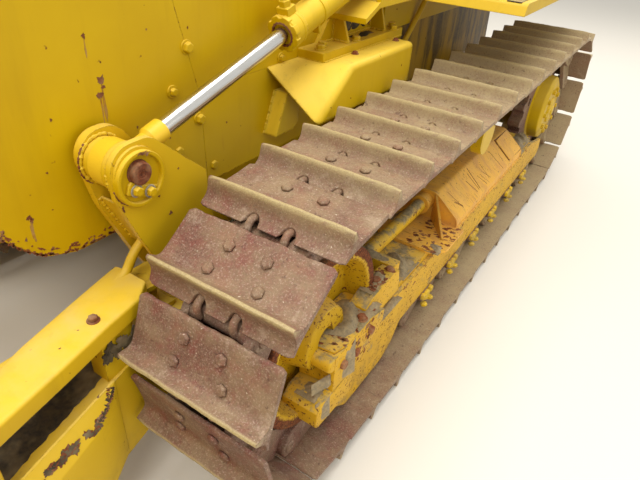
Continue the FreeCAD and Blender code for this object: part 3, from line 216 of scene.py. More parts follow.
# %% The painted steel finish itself
def painted(name, base, shade, chips=0.5, freckles=0.0, dust=0.4, chalk_and_sky_light=0.5, mud_height=0.45, gloss=0.42, scratched=0.0,
            fold=0.004, oily_from=None, bare_beyond=None, scoured=False, caked=0.0):
    """Brushed enamel on steel. chips is how much has come off, freckles how thick rust spots
    stand, dust how much lies on top, chalk_and_sky_light how far the sky side is chalked
    pale and painted lighter, as sky light would make it."""
    made = bpy.data.materials.new(name)
    made.use_nodes = True
    tree = made.node_tree
    shader = tree.nodes["Principled BSDF"]
    shader.inputs["Specular IOR Level"].default_value = 0.22
    place, soft, edge, sky_side, height = masks(tree, fold)
    drift = noise(tree, place, 380, 4)
    skin = over(tree, between(tree, drift, 0.35, 0.7), colour(base), colour(shade))
    # sky-facing faces turn paler: chalked paint, and a painted highlight of the sky light on them
    faded_and_sky_lit = times(tree, between(tree, sky_side, 0.10, 0.85), chalk_and_sky_light)
    skin = over(tree, faded_and_sky_lit, skin, colour("ebc847"))
    # dirt shadows run down the plates
    runs = noise(tree, place, 70, 5, 0.6, (1, 1, 0.12))
    skin = over(tree, between(tree, runs, 0.54, 0.80, 0, 0.22), skin, colour("8a6d0c"))
    # pinholes, and a faint bleed below each
    spots = noise(tree, place, 26, 2, 0.5)
    pin = between(tree, spots, 0.745 - 0.05 * chips, 0.785 - 0.05 * chips)
    bleed = noise(tree, place, 30, 2, 0.5, (1, 1, 0.16))
    bleed = between(tree, bleed, 0.72 - 0.04 * chips, 0.88, 0, 0.5)
    # chips crowd the edges
    flake = noise(tree, place, 14, 6, 0.65)
    patches = noise(tree, place, 160, 3, 0.6)
    worn = plus(tree, flake, times(tree, patches, 0.5))
    edge_wear = times(tree, edge, between(tree, worn, 0.82 - 0.12 * chips, 0.92 - 0.12 * chips))
    bare = times(tree, between(tree, flake, 0.60, 0.66), between(tree, patches, 0.68 - 0.09 * chips, 0.76 - 0.09 * chips))
    gone = plus(tree, plus(tree, edge_wear, bare), pin)
    if freckles:
        small = noise(tree, place, 9, 3, 0.6)
        crowd = between(tree, noise(tree, place, 90, 4, 0.65), 0.30, 0.70, -0.04, 0.085 * freckles)
        small = add(tree, "ShaderNodeMath", {0: small, 1: crowd}, operation="ADD").outputs[0]
        gone = plus(tree, gone, between(tree, small, 0.635, 0.675, 0, 0.9))
    if bare_beyond:
        # a wheel keeps its paint on the sides only: all beyond this radius is bare
        y, z, radius = bare_beyond
        away = add(tree, "ShaderNodeVectorMath", {0: place, 1: (0, y, z)}, operation="SUBTRACT")
        flat = add(tree, "ShaderNodeVectorMath", {0: away.outputs[0], 1: (0, 1, 1)}, operation="MULTIPLY")
        size = add(tree, "ShaderNodeVectorMath", {0: flat.outputs[0]}, operation="LENGTH").outputs["Value"]
        ragged = add(tree, "ShaderNodeMath", {0: flake, 1: 0.03, 2: size}, operation="MULTIPLY_ADD").outputs[0]
        gone = plus(tree, gone, between(tree, ragged, radius + 0.012, radius + 0.018))
    rust = over(tree, between(tree, flake, 0.4, 0.7), RUST_DARK, RUST)
    rust = over(tree, between(tree, noise(tree, place, 5, 3), 0.5, 0.75), rust, RUST_BRIGHT)
    skin = over(tree, times(tree, bleed, 0.7), skin, colour("96690f"))
    skin = over(tree, gone, skin, rust)
    # dust on what faces up, mud low down
    cloud = noise(tree, place, 90, 5, 0.62)
    lies = times(tree, between(tree, sky_side, 0.35, 0.95), between(tree, cloud, 0.38, 0.72, 0.1, 1.0))
    lies = times(tree, lies, dust)
    skin = over(tree, lies, skin, DUST)
    if caked:
        cake = plus(tree, noise(tree, place, 75, 6, 0.72), times(tree, between(tree, sky_side, 0.2, 0.9, 0, 1), 0.13))
        cake = times(tree, between(tree, cake, 0.58, 0.70), caked)
        skin = over(tree, cake, skin, over(tree, between(tree, flake, 0.35, 0.65), colour("6f664f"), colour("9a8f74")))
        lies = plus(tree, lies, cake)
    low = between(tree, height.outputs["Z"], mud_height, mud_height * 0.25)
    low = times(tree, low, between(tree, noise(tree, place, 45, 6, 0.7), 0.42, 0.60))
    skin = over(tree, times(tree, low, 0.75), skin, MUD)
    rough = over(tree, plus(tree, gone, plus(tree, lies, low)), gloss, 0.88)
    if scratched:
        fine = noise(tree, place, 60, 8, 0.8, (1, 7, 1))
        skin = over(tree, between(tree, fine, 0.57, 0.63, 0, scratched), skin, colour("7d5526"))
        broad = noise(tree, place, 120, 5, 0.7, (1, 3, 1))
        skin = over(tree, between(tree, broad, 0.48, 0.62, 0, scratched * 0.8), skin, colour("c58f4e"))
    if oily_from is not None:
        seep = noise(tree, place, 110, 6, 0.70, (1, 1, 0.16))
        reach = add(tree, "ShaderNodeMath", {0: seep, 1: 0.5, 2: height.outputs["Y"]}, operation="MULTIPLY_ADD").outputs[0]
        above = between(tree, plus(tree, height.outputs["Z"], times(tree, seep, 0.35)), 0.98, 1.10, 0.0, 0.30)
        oily = between(tree, plus(tree, reach, above), oily_from + 0.36, oily_from + 0.62, 0, 0.90)
        oily = times(tree, oily, between(tree, plus(tree, seep, above), 0.44, 0.62, 0.25, 1.0))
        skin = over(tree, times(tree, between(tree, reach, oily_from + 0.1, oily_from + 0.3), 0.55), skin, colour("9a6f12"))
        skin = over(tree, oily, skin, over(tree, between(tree, flake, 0.4, 0.6), OIL, colour("4a3c20")))
    if scoured:
        # soil sliding over the mouldboard keeps its lower front bare
        front = add(tree, "ShaderNodeSeparateXYZ", {"Vector": add(tree, "ShaderNodeNewGeometry").outputs["Normal"]}).outputs["Y"]
        rub = times(tree, between(tree, front, -0.35, -0.7), between(tree, plus(tree, height.outputs["Z"], times(tree, patches, 0.35)), 0.98, 0.78))
        grain = noise(tree, place, 30, 6, 0.7, (0.25, 1, 1))
        steel = over(tree, between(tree, grain, 0.4, 0.65), colour("7c7066"), colour("9d8e78"))
        skin = over(tree, times(tree, rub, between(tree, grain, 0.25, 0.45, 0.7, 1)), skin, steel)
        rough = over(tree, rub, rough, 0.42)
    tree.links.new(skin, shader.inputs["Base Color"])
    tree.links.new(rough, shader.inputs["Roughness"])
    lift = add(tree, "ShaderNodeMath", {0: gone, 1: -1.0, 2: 1.0}, operation="MULTIPLY_ADD").outputs[0]
    rise = plus(tree, times(tree, lift, 0.7), times(tree, flake, 0.18))
    bump = add(tree, "ShaderNodeBump", {"Height": rise, "Distance": 0.0012, "Strength": 0.5, "Normal": soft})
    tree.links.new(bump.outputs[0], shader.inputs["Normal"])
    return made


IDLER = (-0.773, 0.474)
hull_yellow = painted("brushed_yellow_enamel", "c4a203", "ba9503", chips=0.05, dust=0.15, chalk_and_sky_light=0.55)
oily_yellow = painted("oil_stained_yellow_enamel", "c4a203", "ba9503", chips=0.12, dust=0.2, chalk_and_sky_light=0.55, oily_from=0.14)
folded_yellow = painted("folded_sheet_yellow_enamel", "c8a609", "bd9a08", chips=0.0, dust=0.12, chalk_and_sky_light=0.85, fold=0.012)
worn_yellow = painted("worn_yellow_enamel", "cfab18", "c29d14", chips=0.55, dust=0.35, chalk_and_sky_light=0.4, mud_height=0.3)
blade_yellow = painted("scoured_blade_enamel", "d0aa0a", "c39c0a", chips=0.9, dust=0.35, chalk_and_sky_light=0.5, scoured=True)
frame_yellow = painted("muddy_yellow_enamel", "d3a51a", "bf921a", chips=1.0, freckles=1.25, dust=0.5, chalk_and_sky_light=0.35, mud_height=0.30,
                       gloss=0.55, caked=0.9)
wheel_yellow = painted("speckled_wheel_enamel", "cba214", "b88f12", chips=0.8, freckles=1.4, dust=0.4, chalk_and_sky_light=0.2, mud_height=0.35,
                       gloss=0.55, bare_beyond=IDLER + (0.236,))
cover_yellow = painted("scratched_orange_enamel", "e3ab3e", "d69d34", chips=0.5, freckles=0.2, dust=0.3, chalk_and_sky_light=0.1, gloss=0.5,
                       scratched=0.8)
black_enamel = painted("black_enamel", "24211e", "2e2a25", chips=0.2, dust=0.5, chalk_and_sky_light=0.0, gloss=0.5)


# %% Hang the finishes on the CAD nodes
def finish_with(material, *names):
    for name in names:
        mesh = nodes[name].data
        mesh.materials.clear()
        mesh.materials.append(material)


finish_with(hull_yellow, "radiator_guard", "engine_hood", "side_panels", "fenders", "rear_tank",
            "canopy_frame", "canopy_roof", "cylinder_supports", "cylinder_covers", "final_drives",
            "lift_barrel_left", "lift_barrel_right", "angle_barrel_left", "angle_barrel_right", "tilt_barrel")
finish_with(oily_yellow, "main_frame")
finish_with(folded_yellow, "side_boxes")
finish_with(worn_yellow, "push_frame", "swivel_frame", "carrier_rollers")
finish_with(blade_yellow, "blade")
finish_with(frame_yellow, "track_frame_left", "track_frame_right", "idler_yokes")
finish_with(wheel_yellow, "idlers")
finish_with(cover_yellow, "recoil_covers")
finish_with(black_enamel, "grille", "radiator_core", "engine_block", "exhaust_stack", "air_cleaner", "dash_console",
            "floor_deck", "seat", "lamps")
print("finishes", len(bpy.data.materials))

# %% [markdown]
# ## Track steel
# Shoes, links and rollers are bare forged steel. It rusts to a dull red violet within
# days, fine soil dries on it, and only the tip of each grouser is rubbed pale. The shoes
# on top of the track have lain under dust longest, so they are tanner than the ones
# that have just come round the idler; towards the back they are also painted lighter,
# as light would make them.


# %% A bare forged steel finish
def bare_steel(name, rusty, earthy, dust=0.5, dust_and_light_back=0.0, gloss=0.7):
    made = bpy.data.materials.new(name)
    made.use_nodes = True
    tree = made.node_tree
    shader = tree.nodes["Principled BSDF"]
    place, soft, edge, sky_side, height = masks(tree)
    patches = noise(tree, place, 120, 5, 0.65)
    grain = noise(tree, place, 7, 5, 0.7)
    fine = noise(tree, place, 2.5, 3, 0.6)
    tone = add(tree, "ShaderNodeAttribute", attribute_name="tone").outputs["Fac"]
    skin = over(tree, between(tree, grain, 0.35, 0.65), colour(rusty), colour("553629"))
    skin = over(tree, between(tree, fine, 0.50, 0.72, 0, 0.65), skin, colour("8f6c57"))
    skin = over(tree, times(tree, tone, 0.30), skin, colour("6f5a45"))
    # where shoes rub and soil has peeled, the scale is redder or paler
    blotch = noise(tree, place, 55, 6, 0.7)
    skin = over(tree, between(tree, blotch, 0.49, 0.60, 0, 0.70), skin, colour("70382f"))
    skin = over(tree, between(tree, blotch, 0.43, 0.36, 0, 0.45), skin, colour("9d8877"))
    grit = noise(tree, place, 4.5, 3, 0.7)
    skin = over(tree, between(tree, grit, 0.55, 0.66, 0, 0.50), skin, colour("b39d90"))
    skin = over(tree, between(tree, grit, 0.44, 0.34, 0, 0.60), skin, colour("3f2822"))
    soil = between(tree, plus(tree, times(tree, patches, 0.75), times(tree, grain, 0.35)), 0.46, 0.66)
    soil = times(tree, soil, dust)
    # shoes further back get more dust, and are also painted lighter there, as light would make them
    if dust_and_light_back:
        back = between(tree, height.outputs["Y"], -0.95, 0.6, 0, dust_and_light_back)
        soil = plus(tree, soil, times(tree, back, between(tree, grain, 0.28, 0.58, 0.45, 1)))
    skin = over(tree, times(tree, soil, between(tree, sky_side, -0.6, 0.3, 0.35, 1)), skin, colour(earthy))
    flecks = between(tree, noise(tree, place, 9, 2, 0.5), 0.74, 0.78, 0, 0.8)
    skin = over(tree, flecks, skin, colour("c4b8a4"))
    pits = between(tree, noise(tree, place, 16, 3, 0.6), 0.30, 0.36, 0.6, 0)
    skin = over(tree, pits, skin, colour("4b3026"))
    tip = add(tree, "ShaderNodeAttribute", attribute_name="polish").outputs["Fac"]
    rubbed = times(tree, tip, between(tree, grain, 0.25, 0.55, 0.55, 1))
    skin = over(tree, rubbed, skin, over(tree, between(tree, fine, 0.4, 0.7), colour("9f8c62"), colour("b7a678")))
    tree.links.new(skin, shader.inputs["Base Color"])
    tree.links.new(over(tree, rubbed, gloss, 0.55), shader.inputs["Roughness"])
    rise = plus(tree, times(tree, grain, 0.6), times(tree, fine, 0.25))
    bump = add(tree, "ShaderNodeBump", {"Height": rise, "Distance": 0.0016, "Strength": 0.6, "Normal": soft})
    tree.links.new(bump.outputs[0], shader.inputs["Normal"])
    return made


shoe_steel = bare_steel("rusty_forged_steel", "744c3f", "a08d69", dust=0.36, dust_and_light_back=0.9)
wheel_steel = bare_steel("soiled_cast_steel", "6e4a38", "8d7452", dust=0.7)
edge_steel = bare_steel("scoured_wear_steel", "6a5a50", "9a8768", dust=0.35, gloss=0.5)
finish_with(shoe_steel, "track_left", "track_right")
finish_with(wheel_steel, "sprockets", "track_rollers")
finish_with(edge_steel, "cutting_edge")

# %% [markdown]
# ## Hard chrome
# Cylinder rods are ground and hard chromed; they mirror the sky, and keep only a thin
# film of oil. A metal's colour is its reflection, so the base colour is nearly white.

# %% Chrome
chrome = bpy.data.materials.new("hard_chrome")
chrome.use_nodes = True
tree = chrome.node_tree
shader = tree.nodes["Principled BSDF"]
shader.inputs["Metallic"].default_value = 1.0
place = add(tree, "ShaderNodeTexCoord").outputs["Object"]
film = noise(tree, place, 25, 3, 0.6, (1, 0.15, 1))
clean = over(tree, between(tree, film, 0.5, 0.8, 0, 0.5), colour("d4d3d0"), colour("a9a297"))
smooth = between(tree, film, 0.3, 0.8, 0.10, 0.32)
tree.links.new(clean, shader.inputs["Base Color"])
tree.links.new(smooth, shader.inputs["Roughness"])

# %% The lift rods keep their paint on the eye and the shank
shank = chrome.copy()
shank.name = "hard_chrome_with_painted_eye"
tree = shank.node_tree
shader = tree.nodes["Principled BSDF"]
place = [n for n in tree.nodes if n.bl_idname == "ShaderNodeTexCoord"][0].outputs["Object"]
from_pin = add(tree, "ShaderNodeVectorMath", {0: place, 1: (0, -1.020, 0.940)}, operation="SUBTRACT")
along_rod = add(tree, "ShaderNodeVectorMath", {0: from_pin.outputs[0], 1: (0, 0.95735, 0.28891)}, operation="DOT_PRODUCT").outputs["Value"]
paint = between(tree, along_rod, 0.1445, 0.1435)
for name, enamel in (("Base Color", colour("dcb624")), ("Roughness", 0.45), ("Metallic", 0.0)):
    joined_to = shader.inputs[name].links
    under = joined_to[0].from_socket if joined_to else 1.0
    tree.links.new(over(tree, paint, under, enamel), shader.inputs[name])
finish_with(shank, "lift_rod_left", "lift_rod_right")
finish_with(chrome, "angle_rod_left", "angle_rod_right", "tilt_rod")

# %% [markdown]
# ## Shapes from outlines
# Every added piece is gathered in one `Shape`, in millimetres. Four ways of making are
# enough: a plate between two heights, a turned outline, a bar swept along a path, and a
# low mound. A `place` turns the piece's own x, y, z to where it belongs on the machine.


# %% A shape that gathers points and faces
class Shape:
    """Points and faces in millimetres, and for each point how far wear has polished it."""

    def __init__(self):
        self.points, self.faces, self.wear = [], [], []

    def take(self, points, faces, place=None, wear=0.0):
        first = len(self.points)
        self.points += [place @ Vector(p) if place else Vector(p) for p in points]
        self.wear += wear if isinstance(wear, list) else [wear] * len(points)
        self.faces += [tuple(first + k for k in face) for face in faces]
        return self

    def mirror(self):
        """Adds the same on the machine's other side."""
        first, faces = len(self.points), list(self.faces)
        self.points += [Vector((-p.x, p.y, p.z)) for p in list(self.points)]
        self.wear += list(self.wear)
        self.faces += [tuple(first + k for k in reversed(face)) for face in faces]
        return self


def at(origin, x=(1, 0, 0), z=(0, 0, 1)):
    """A place: an origin, where the piece's own x points, and where its own z points."""
    up = Vector(z).normalized()
    across = Vector(x)
    across = (across - up * across.dot(up)).normalized()
    turn = Matrix((across, up.cross(across), up)).transposed()
    return Matrix.Translation(Vector(origin)) @ turn.to_4x4()


def inset(outline, depth):
    """An outline moved inwards; it runs counter-clockwise."""
    moved = []
    for i, point in enumerate(outline):
        here, before, after = Vector(point), Vector(outline[i - 1]), Vector(outline[(i + 1) % len(outline)])
        a, b = (here - before).normalized(), (after - here).normalized()
        normal = Vector((-a.y - b.y, a.x + b.x))
        normal = normal.normalized() if normal.length > 1e-6 else Vector((-a.y, a.x))
        share = max(0.35, normal.dot(Vector((-a.y, a.x))))
        moved.append(here + normal * (depth / share))
    return moved


def plate(shape, outline, low, high, place=None, ease=0.0, wear=0.0):
    """A plate between two heights of its own z, with eased edges."""
    area = sum(p[0] * outline[(i + 1) % len(outline)][1] - outline[(i + 1) % len(outline)][0] * p[1]
               for i, p in enumerate(outline))
    outline = [Vector((p[0], p[1])) for p in (outline if area > 0 else reversed(outline))]
    rings = [(outline, low), (outline, high)]
    if ease:
        small = inset(outline, ease)
        rings = [(small, low), (outline, low + ease), (outline, high - ease), (small, high)]
    count = len(outline)
    points = [(p.x, p.y, z) for ring, z in rings for p in ring]
    faces = [tuple(reversed(range(count))), tuple(range((len(rings) - 1) * count, len(rings) * count))]
    for r in range(len(rings) - 1):
        for i in range(count):
            j = (i + 1) % count
            faces.append((r * count + i, r * count + j, (r + 1) * count + j, (r + 1) * count + i))
    return shape.take(points, faces, place, wear)


def lathe(shape, profile, steps=24, place=None, wear=0.0):
    """A turned piece about its own z: profile in (z, radius), from below upwards on its outside."""
    points, faces, rings = [], [], []
    for z, radius in profile:
        if radius < 1e-6:
            rings.append([len(points)])
            points.append((0, 0, z))
        else:
            rings.append(list(range(len(points), len(points) + steps)))
            points += [(radius * math.cos(2 * math.pi * i / steps), radius * math.sin(2 * math.pi * i / steps), z)
                       for i in range(steps)]
    for low_ring, high_ring in zip(rings[:-1], rings[1:]):
        for i in range(steps):
            j = (i + 1) % steps
            if len(low_ring) == 1 and len(high_ring) > 1:
                faces.append((low_ring[0], high_ring[j], high_ring[i]))
            elif len(high_ring) == 1 and len(low_ring) > 1:
                faces.append((low_ring[i], low_ring[j], high_ring[0]))
            elif len(low_ring) > 1:
                faces.append((low_ring[i], low_ring[j], high_ring[j], high_ring[i]))
    return shape.take(points, faces, place, wear)


def disc_profile(radius, low, high, ease=1.0):
    return [(low, 0), (low, radius - ease), (low + ease, radius), (high - ease, radius), (high, radius - ease), (high, 0)]


def bar(shape, path, radius, sides=12, ripple=0.0, place=None):
    """A round bar along a path; ripple swells and thins it, as a weld bead does."""
    path = [Vector(p) for p in path]
    points, faces = [], []
    side = None
    for i, here in enumerate(path):
        ahead = (path[min(i + 1, len(path) - 1)] - path[max(i - 1, 0)]).normalized()
        if side is None:
            side = ahead.orthogonal().normalized()
        side = (side - ahead * side.dot(ahead)).normalized()
        other = ahead.cross(side)
        size = radius * (1 + ripple * math.sin(i * 2.3) + ripple * 0.6 * math.sin(i * 5.1 + 1))
        points += [here + (side * math.cos(2 * math.pi * k / sides) + other * math.sin(2 * math.pi * k / sides)) * size
                   for k in range(sides)]
    for i in range(len(path) - 1):
        for k in range(sides):
            n = (k + 1) % sides
            faces.append((i * sides + k, i * sides + n, (i + 1) * sides + n, (i + 1) * sides + k))
    faces += [tuple(reversed(range(sides))), tuple(range((len(path) - 1) * sides, len(path) * sides))]
    return shape.take(points, faces, place)


def bent(points, radius, steps=6):
    """A path with its corners rounded, for a bent pipe."""
    points = [Vector(p) for p in points]
    path = [points[0]]
    for before, here, after in zip(points[:-2], points[1:-1], points[2:]):
        a, b = (before - here).normalized(), (after - here).normalized()
        reach = min(radius, (before - here).length * 0.45, (after - here).length * 0.45)
        start, end = here + a * reach, here + b * reach
        path += [start.lerp(here, k / steps).lerp(here.lerp(end, k / steps), k / steps) for k in range(steps + 1)]
    return path + [points[-1]]


def ring_path(centre, radius, x, z, steps=40, start=0.0, end=360.0):
    place = at(centre, x, z)
    return [place @ Vector((radius * math.cos(math.radians(start + (end - start) * i / steps)),
                            radius * math.sin(math.radians(start + (end - start) * i / steps)), 0)) for i in range(steps + 1)]


def line_path(start, end, step=6.0):
    start, end = Vector(start), Vector(end)
    count = max(2, int((end - start).length / step))
    return [start.lerp(end, i / count) for i in range(count + 1)]


def patch(shape, radii, place, thick=0.6, seed=0, ragged=0.35, count=22):
    """A thin ragged patch, such as a rust scab: radii across and along."""
    dice = random.Random(seed)
    outline = []
    for i in range(count):
        angle = 2 * math.pi * i / count
        size = 1 + ragged * (dice.random() - 0.6) + 0.18 * math.sin(3 * angle + seed)
        outline.append((radii[0] * size * math.cos(angle), radii[1] * size * math.sin(angle)))
    return plate(shape, outline, -0.5, thick, place)


def mound(shape, size, height, place, seed=0, cells=26):
    """A cake of dried soil: highest in the middle, lumpy, and thin at its ragged rim."""
    dice = random.Random(seed)
    waves = [(dice.uniform(0.02, 0.11), dice.uniform(0.02, 0.11), dice.uniform(0, 6.3)) for _ in range(7)]
    points = []
    for j in range(cells + 1):
        for i in range(cells + 1):
            u, v = 2 * i / cells - 1, 2 * j / cells - 1
            x, y = u * size[0] / 2, v * size[1] / 2
            lump = sum(math.sin(a * x + p) * math.cos(b * y + p) for a, b, p in waves) / 3.5
            rim = 1 - max(abs(u), abs(v)) ** 2.5 - 0.25 * (u * u + v * v) + 0.30 * lump
            fine = math.sin(x * 0.31 + waves[0][2]) * math.sin(y * 0.27 + waves[1][2])
            points.append((x, y, -1.6 + height * max(0.0, min(1.0, rim * 1.1)) * (0.70 + 0.35 * lump + 0.18 * fine)))
    row = cells + 1
    faces = [(j * row + i, j * row + i + 1, (j + 1) * row + i + 1, (j + 1) * row + i) for j in range(cells) for i in range(cells)]
    # the underside closes it
    first = len(points)
    border = [i for i in range(row)] + [j * row + cells for j in range(1, row)] \
        + [cells * row + i for i in range(cells - 1, -1, -1)] + [j * row for j in range(cells - 1, 0, -1)]
    points += [(points[k][0], points[k][1], -4.0) for k in border]
    ring = list(range(first, first + len(border)))
    for n, k in enumerate(border):
        m = (n + 1) % len(border)
        faces.append((ring[n], ring[m], border[m], k))
    faces.append(tuple(reversed(ring)))
    return shape.take(points, faces, place)


# %% Hexagon heads
def hexagon(flats):
    return [(flats / math.sqrt(3) * math.cos(math.radians(60 * i)), flats / math.sqrt(3) * math.sin(math.radians(60 * i)))
            for i in range(6)]


def bolt(shape, place=None, flats=24, high=15, washer=0, ease=2.0):
    base = 0
    if washer:
        lathe(shape, disc_profile(washer, -1, 3.5, 0.8), 16, place)
        base = 3.0
    return plate(shape, hexagon(flats), base - 2, base + high, place, ease)


# %% From a shape to a mesh object
def mesh_of(name, shape, material, angle=38):
    mesh = bpy.data.meshes.new(name)
    mesh.from_pydata([p * 0.001 for p in shape.points], [], shape.faces)
    mesh.attributes.new("polish", "FLOAT", "POINT").data.foreach_set("value", shape.wear)
    mesh.materials.append(material)
    mesh.shade_smooth()
    mesh.set_sharp_from_angle(angle=math.radians(angle))
    made = bpy.data.objects.new(name, mesh)
    scene.collection.objects.link(made)
    return made


def piece(name, shape, material, body, angle=38):
    """An added piece: it moves with a body and takes the given finish."""
    made = mesh_of(name, shape, material, angle)
    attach(made, body)
    print(name, len(made.data.polygons), "faces on", body)
    return made


# %% [markdown]
# ## Repeats by Geometry Nodes
# Shoes, bolts and clamps are one pattern set down many times. The pattern stands at the
# origin; a cloud of points says where each copy goes, by a `turn` and a `size` on every
# point. The group adds a small random sway and one random `tone` for each copy, then
# makes the copies real and gives them their material.

# %% The group that sets a pattern down on points
repeats = bpy.data.node_groups.new("set_down_repeats", "GeometryNodeTree")
for name, kind in (("Points", "NodeSocketGeometry"), ("Pattern", "NodeSocketObject"), ("Finish", "NodeSocketMaterial"),
                   ("Seed", "NodeSocketInt"), ("Sway", "NodeSocketFloat")):
    repeats.interface.new_socket(name=name, in_out="INPUT", socket_type=kind)
repeats.interface.new_socket(name="Copies", in_out="OUTPUT", socket_type="NodeSocketGeometry")
given = add(repeats, "NodeGroupInput").outputs
pattern = add(repeats, "GeometryNodeObjectInfo", {"Object": given["Pattern"]})
turn = add(repeats, "GeometryNodeInputNamedAttribute", {"Name": "turn"}, data_type="FLOAT_VECTOR")
size = add(repeats, "GeometryNodeInputNamedAttribute", {"Name": "size"}, data_type="FLOAT")
sway = add(repeats, "FunctionNodeRandomValue", {"Min": (-1, -1, -1), "Max": (1, 1, 1), "Seed": given["Seed"]}, data_type="FLOAT_VECTOR")
sway = add(repeats, "ShaderNodeVectorMath", {0: sway.outputs[0], "Scale": given["Sway"]}, operation="SCALE")
turned_by = add(repeats, "ShaderNodeVectorMath", {0: turn.outputs[0], 1: sway.outputs[0]}, operation="ADD")
rotation = add(repeats, "FunctionNodeEulerToRotation", {0: turned_by.outputs[0]})
copies = add(repeats, "GeometryNodeInstanceOnPoints", {"Points": given["Points"], "Instance": pattern.outputs["Geometry"],
                                                      "Rotation": rotation, "Scale": size.outputs[0]})
chance = add(repeats, "FunctionNodeRandomValue", {"Seed": given["Seed"]}, data_type="FLOAT")
marked = add(repeats, "GeometryNodeStoreNamedAttribute", {"Geometry": copies, "Name": "tone", "Value": chance.outputs[1]},
             data_type="FLOAT", domain="INSTANCE")
real = add(repeats, "GeometryNodeRealizeInstances", {"Geometry": marked})
finished = add(repeats, "GeometryNodeSetMaterial", {"Geometry": real, "Material": given["Finish"]})
add(repeats, "NodeGroupOutput", {"Copies": finished})
INPUT = {item.name: item.identifier for item in repeats.interface.items_tree if item.in_out == "INPUT"}
print("inputs", sorted(INPUT))


def set_down(name, pattern_shape, places, material, body, seed=1, sway_degrees=0.0, scales=None, angle=38):
    """One pattern at many places, as one piece."""
    model = mesh_of(name + "_pattern", pattern_shape, material, angle)
    cloud = bpy.data.meshes.new(name)
    cloud.from_pydata([p.to_translation() * 0.001 for p in places], [], [])
    turns = [value for p in places for value in p.to_euler()]
    cloud.attributes.new("turn", "FLOAT_VECTOR", "POINT").data.foreach_set("vector", turns)
    cloud.attributes.new("size", "FLOAT", "POINT").data.foreach_set("value", scales or [1.0] * len(places))
    made = bpy.data.objects.new(name, cloud)
    scene.collection.objects.link(made)
    live = made.modifiers.new("repeats", "NODES")
    live.node_group = repeats
    live[INPUT["Pattern"]] = model
    live[INPUT["Finish"]] = material
    live[INPUT["Seed"]] = seed
    live[INPUT["Sway"]] = math.radians(sway_degrees)
    mesh = bpy.data.meshes.new_from_object(made.evaluated_get(bpy.context.evaluated_depsgraph_get()))
    made.modifiers.clear()
    made.data = mesh
    bpy.data.objects.remove(model)
    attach(made, body)
    print(name, len(places), "copies,", len(mesh.polygons), "faces on", body)
    return made


# %% [markdown]
# ## The track shoes
# A shoe is a rolled section: a flat plate, a grouser that rises from it in a hollow
# curve, and a thin lip that dips under the next shoe. Two half-round notches in the lip
# let the soil out of the links. Age rounds the grouser, drops its ends and waves the
# plate's rear edge. The section is swept across the width here, column by column, so
# that the notches and the wear can bend it.

# %% Where the chain's pins lie
PITCH, HALF_LINK, SHOE_HALF = 190.5, 52.5, 203
GROUSER, SHOES = 158, 37
TRACK_X = 865
TIP = HALF_LINK + 12 + 43
IDLER_YZ, SPROCKET_Y = (-773, 474), 1689.39
IDLER_RING = math.hypot(264 + 0.4 + HALF_LINK, PITCH / 2)
SPROCKET_RING = PITCH / (2 * math.sin(math.pi / 11.5))


def belt_path():
    """The taut path of the pins round idler and sprocket, in small steps of (y, z)."""
    cloud = [(-375.0, TIP), (1365.0, TIP)]
    for y, z, radius in (IDLER_YZ + (IDLER_RING,), (SPROCKET_Y, TIP + SPROCKET_RING, SPROCKET_RING)):
        cloud += [(y + radius * math.cos(math.radians(k / 4)), z + radius * math.sin(math.radians(k / 4))) for k in range(1440)]
    cloud.sort()
    hull = []
    for sweep in (cloud, cloud[::-1]):
        part = []
        for p in sweep:
            while len(part) > 1 and ((part[-1][0] - part[-2][0]) * (p[1] - part[-2][1])
                                     - (part[-1][1] - part[-2][1]) * (p[0] - part[-2][0])) <= 0:
                part.pop()
            part.append(p)
        hull += part[:-1]
    path = []
    for a, b in zip(hull, hull[1:] + hull[:1]):
        steps = max(1, int(math.dist(a, b) / 4))
        path += [(a[0] + (b[0] - a[0]) * k / steps, a[1] + (b[1] - a[1]) * k / steps) for k in range(steps)]
    return path


def pin_points():
    path = belt_path()
    first = (-850 + GROUSER - 4, IDLER_YZ[1] + IDLER_RING)
    index = min(range(len(path)), key=lambda i: math.dist(path[i], first))
    here = path[index]
    found = [here]
    for _ in range(SHOES):
        while math.dist(here, path[(index + 1) % len(path)]) < PITCH:
            index += 1
        a, b = path[index % len(path)], path[(index + 1) % len(path)]
        low_share, high_share = 0.0, 1.0
        for _ in range(40):
            share = (low_share + high_share) / 2
            there = (a[0] + (b[0] - a[0]) * share, a[1] + (b[1] - a[1]) * share)
            low_share, high_share = (share, high_share) if math.dist(here, there) < PITCH else (low_share, share)
        here = there
        found.append(here)
    return found


PINS = pin_points()
print("pins", len(PINS), "closing gap mm", round(math.dist(PINS[0], PINS[-1]), 3))


def chain_places(centre_x):
    places = []
    for (y0, z0), (y1, z1) in zip(PINS[:-1], PINS[1:]):
        along = Vector((0, y1 - y0, z1 - z0)).normalized()
        outward = Vector((0, along.z, -along.y))
        if outward.z * (z0 + z1 - 2 * IDLER_YZ[1]) < 0 and abs(outward.z) > 0.2:
            outward = -outward
        places.append(Matrix.Translation((centre_x, y0, z0))
                      @ Matrix((along.cross(outward), along, outward)).transposed().to_4x4())
    return places


# %% One shoe with its links
# section of the shoe: distance from the pin along the chain, height over the pin line
OVER = [(4, 64.2), (6, 65.6), (22, 64.8), (62, 63.8), (112, 64.3), (128, 65.6), (137, 69), (143.5, 76), (147.5, 88),
        (150.5, 102), (153, 107), (159.5, 107.4), (162.5, 104.5), (164.5, 93), (167.5, 80), (172, 69), (178, 61.5),
        (187, 55.5), (196, 51.3), (203, 49.2)]
UNDER = [(203.5, 46.8), (196, 46.3), (180, 50.5), (160, 52.4), (18, 52.4), (4, 54.2), (2.5, 56.5), (2.7, 62.5)]


def height_on(line, s):
    for (s0, z0), (s1, z1) in zip(line[:-1], line[1:]):
        if s0 <= s <= s1:
            return z0 + (z1 - z0) * (s - s0) / max(s1 - s0, 1e-6)
    return line[-1][1]


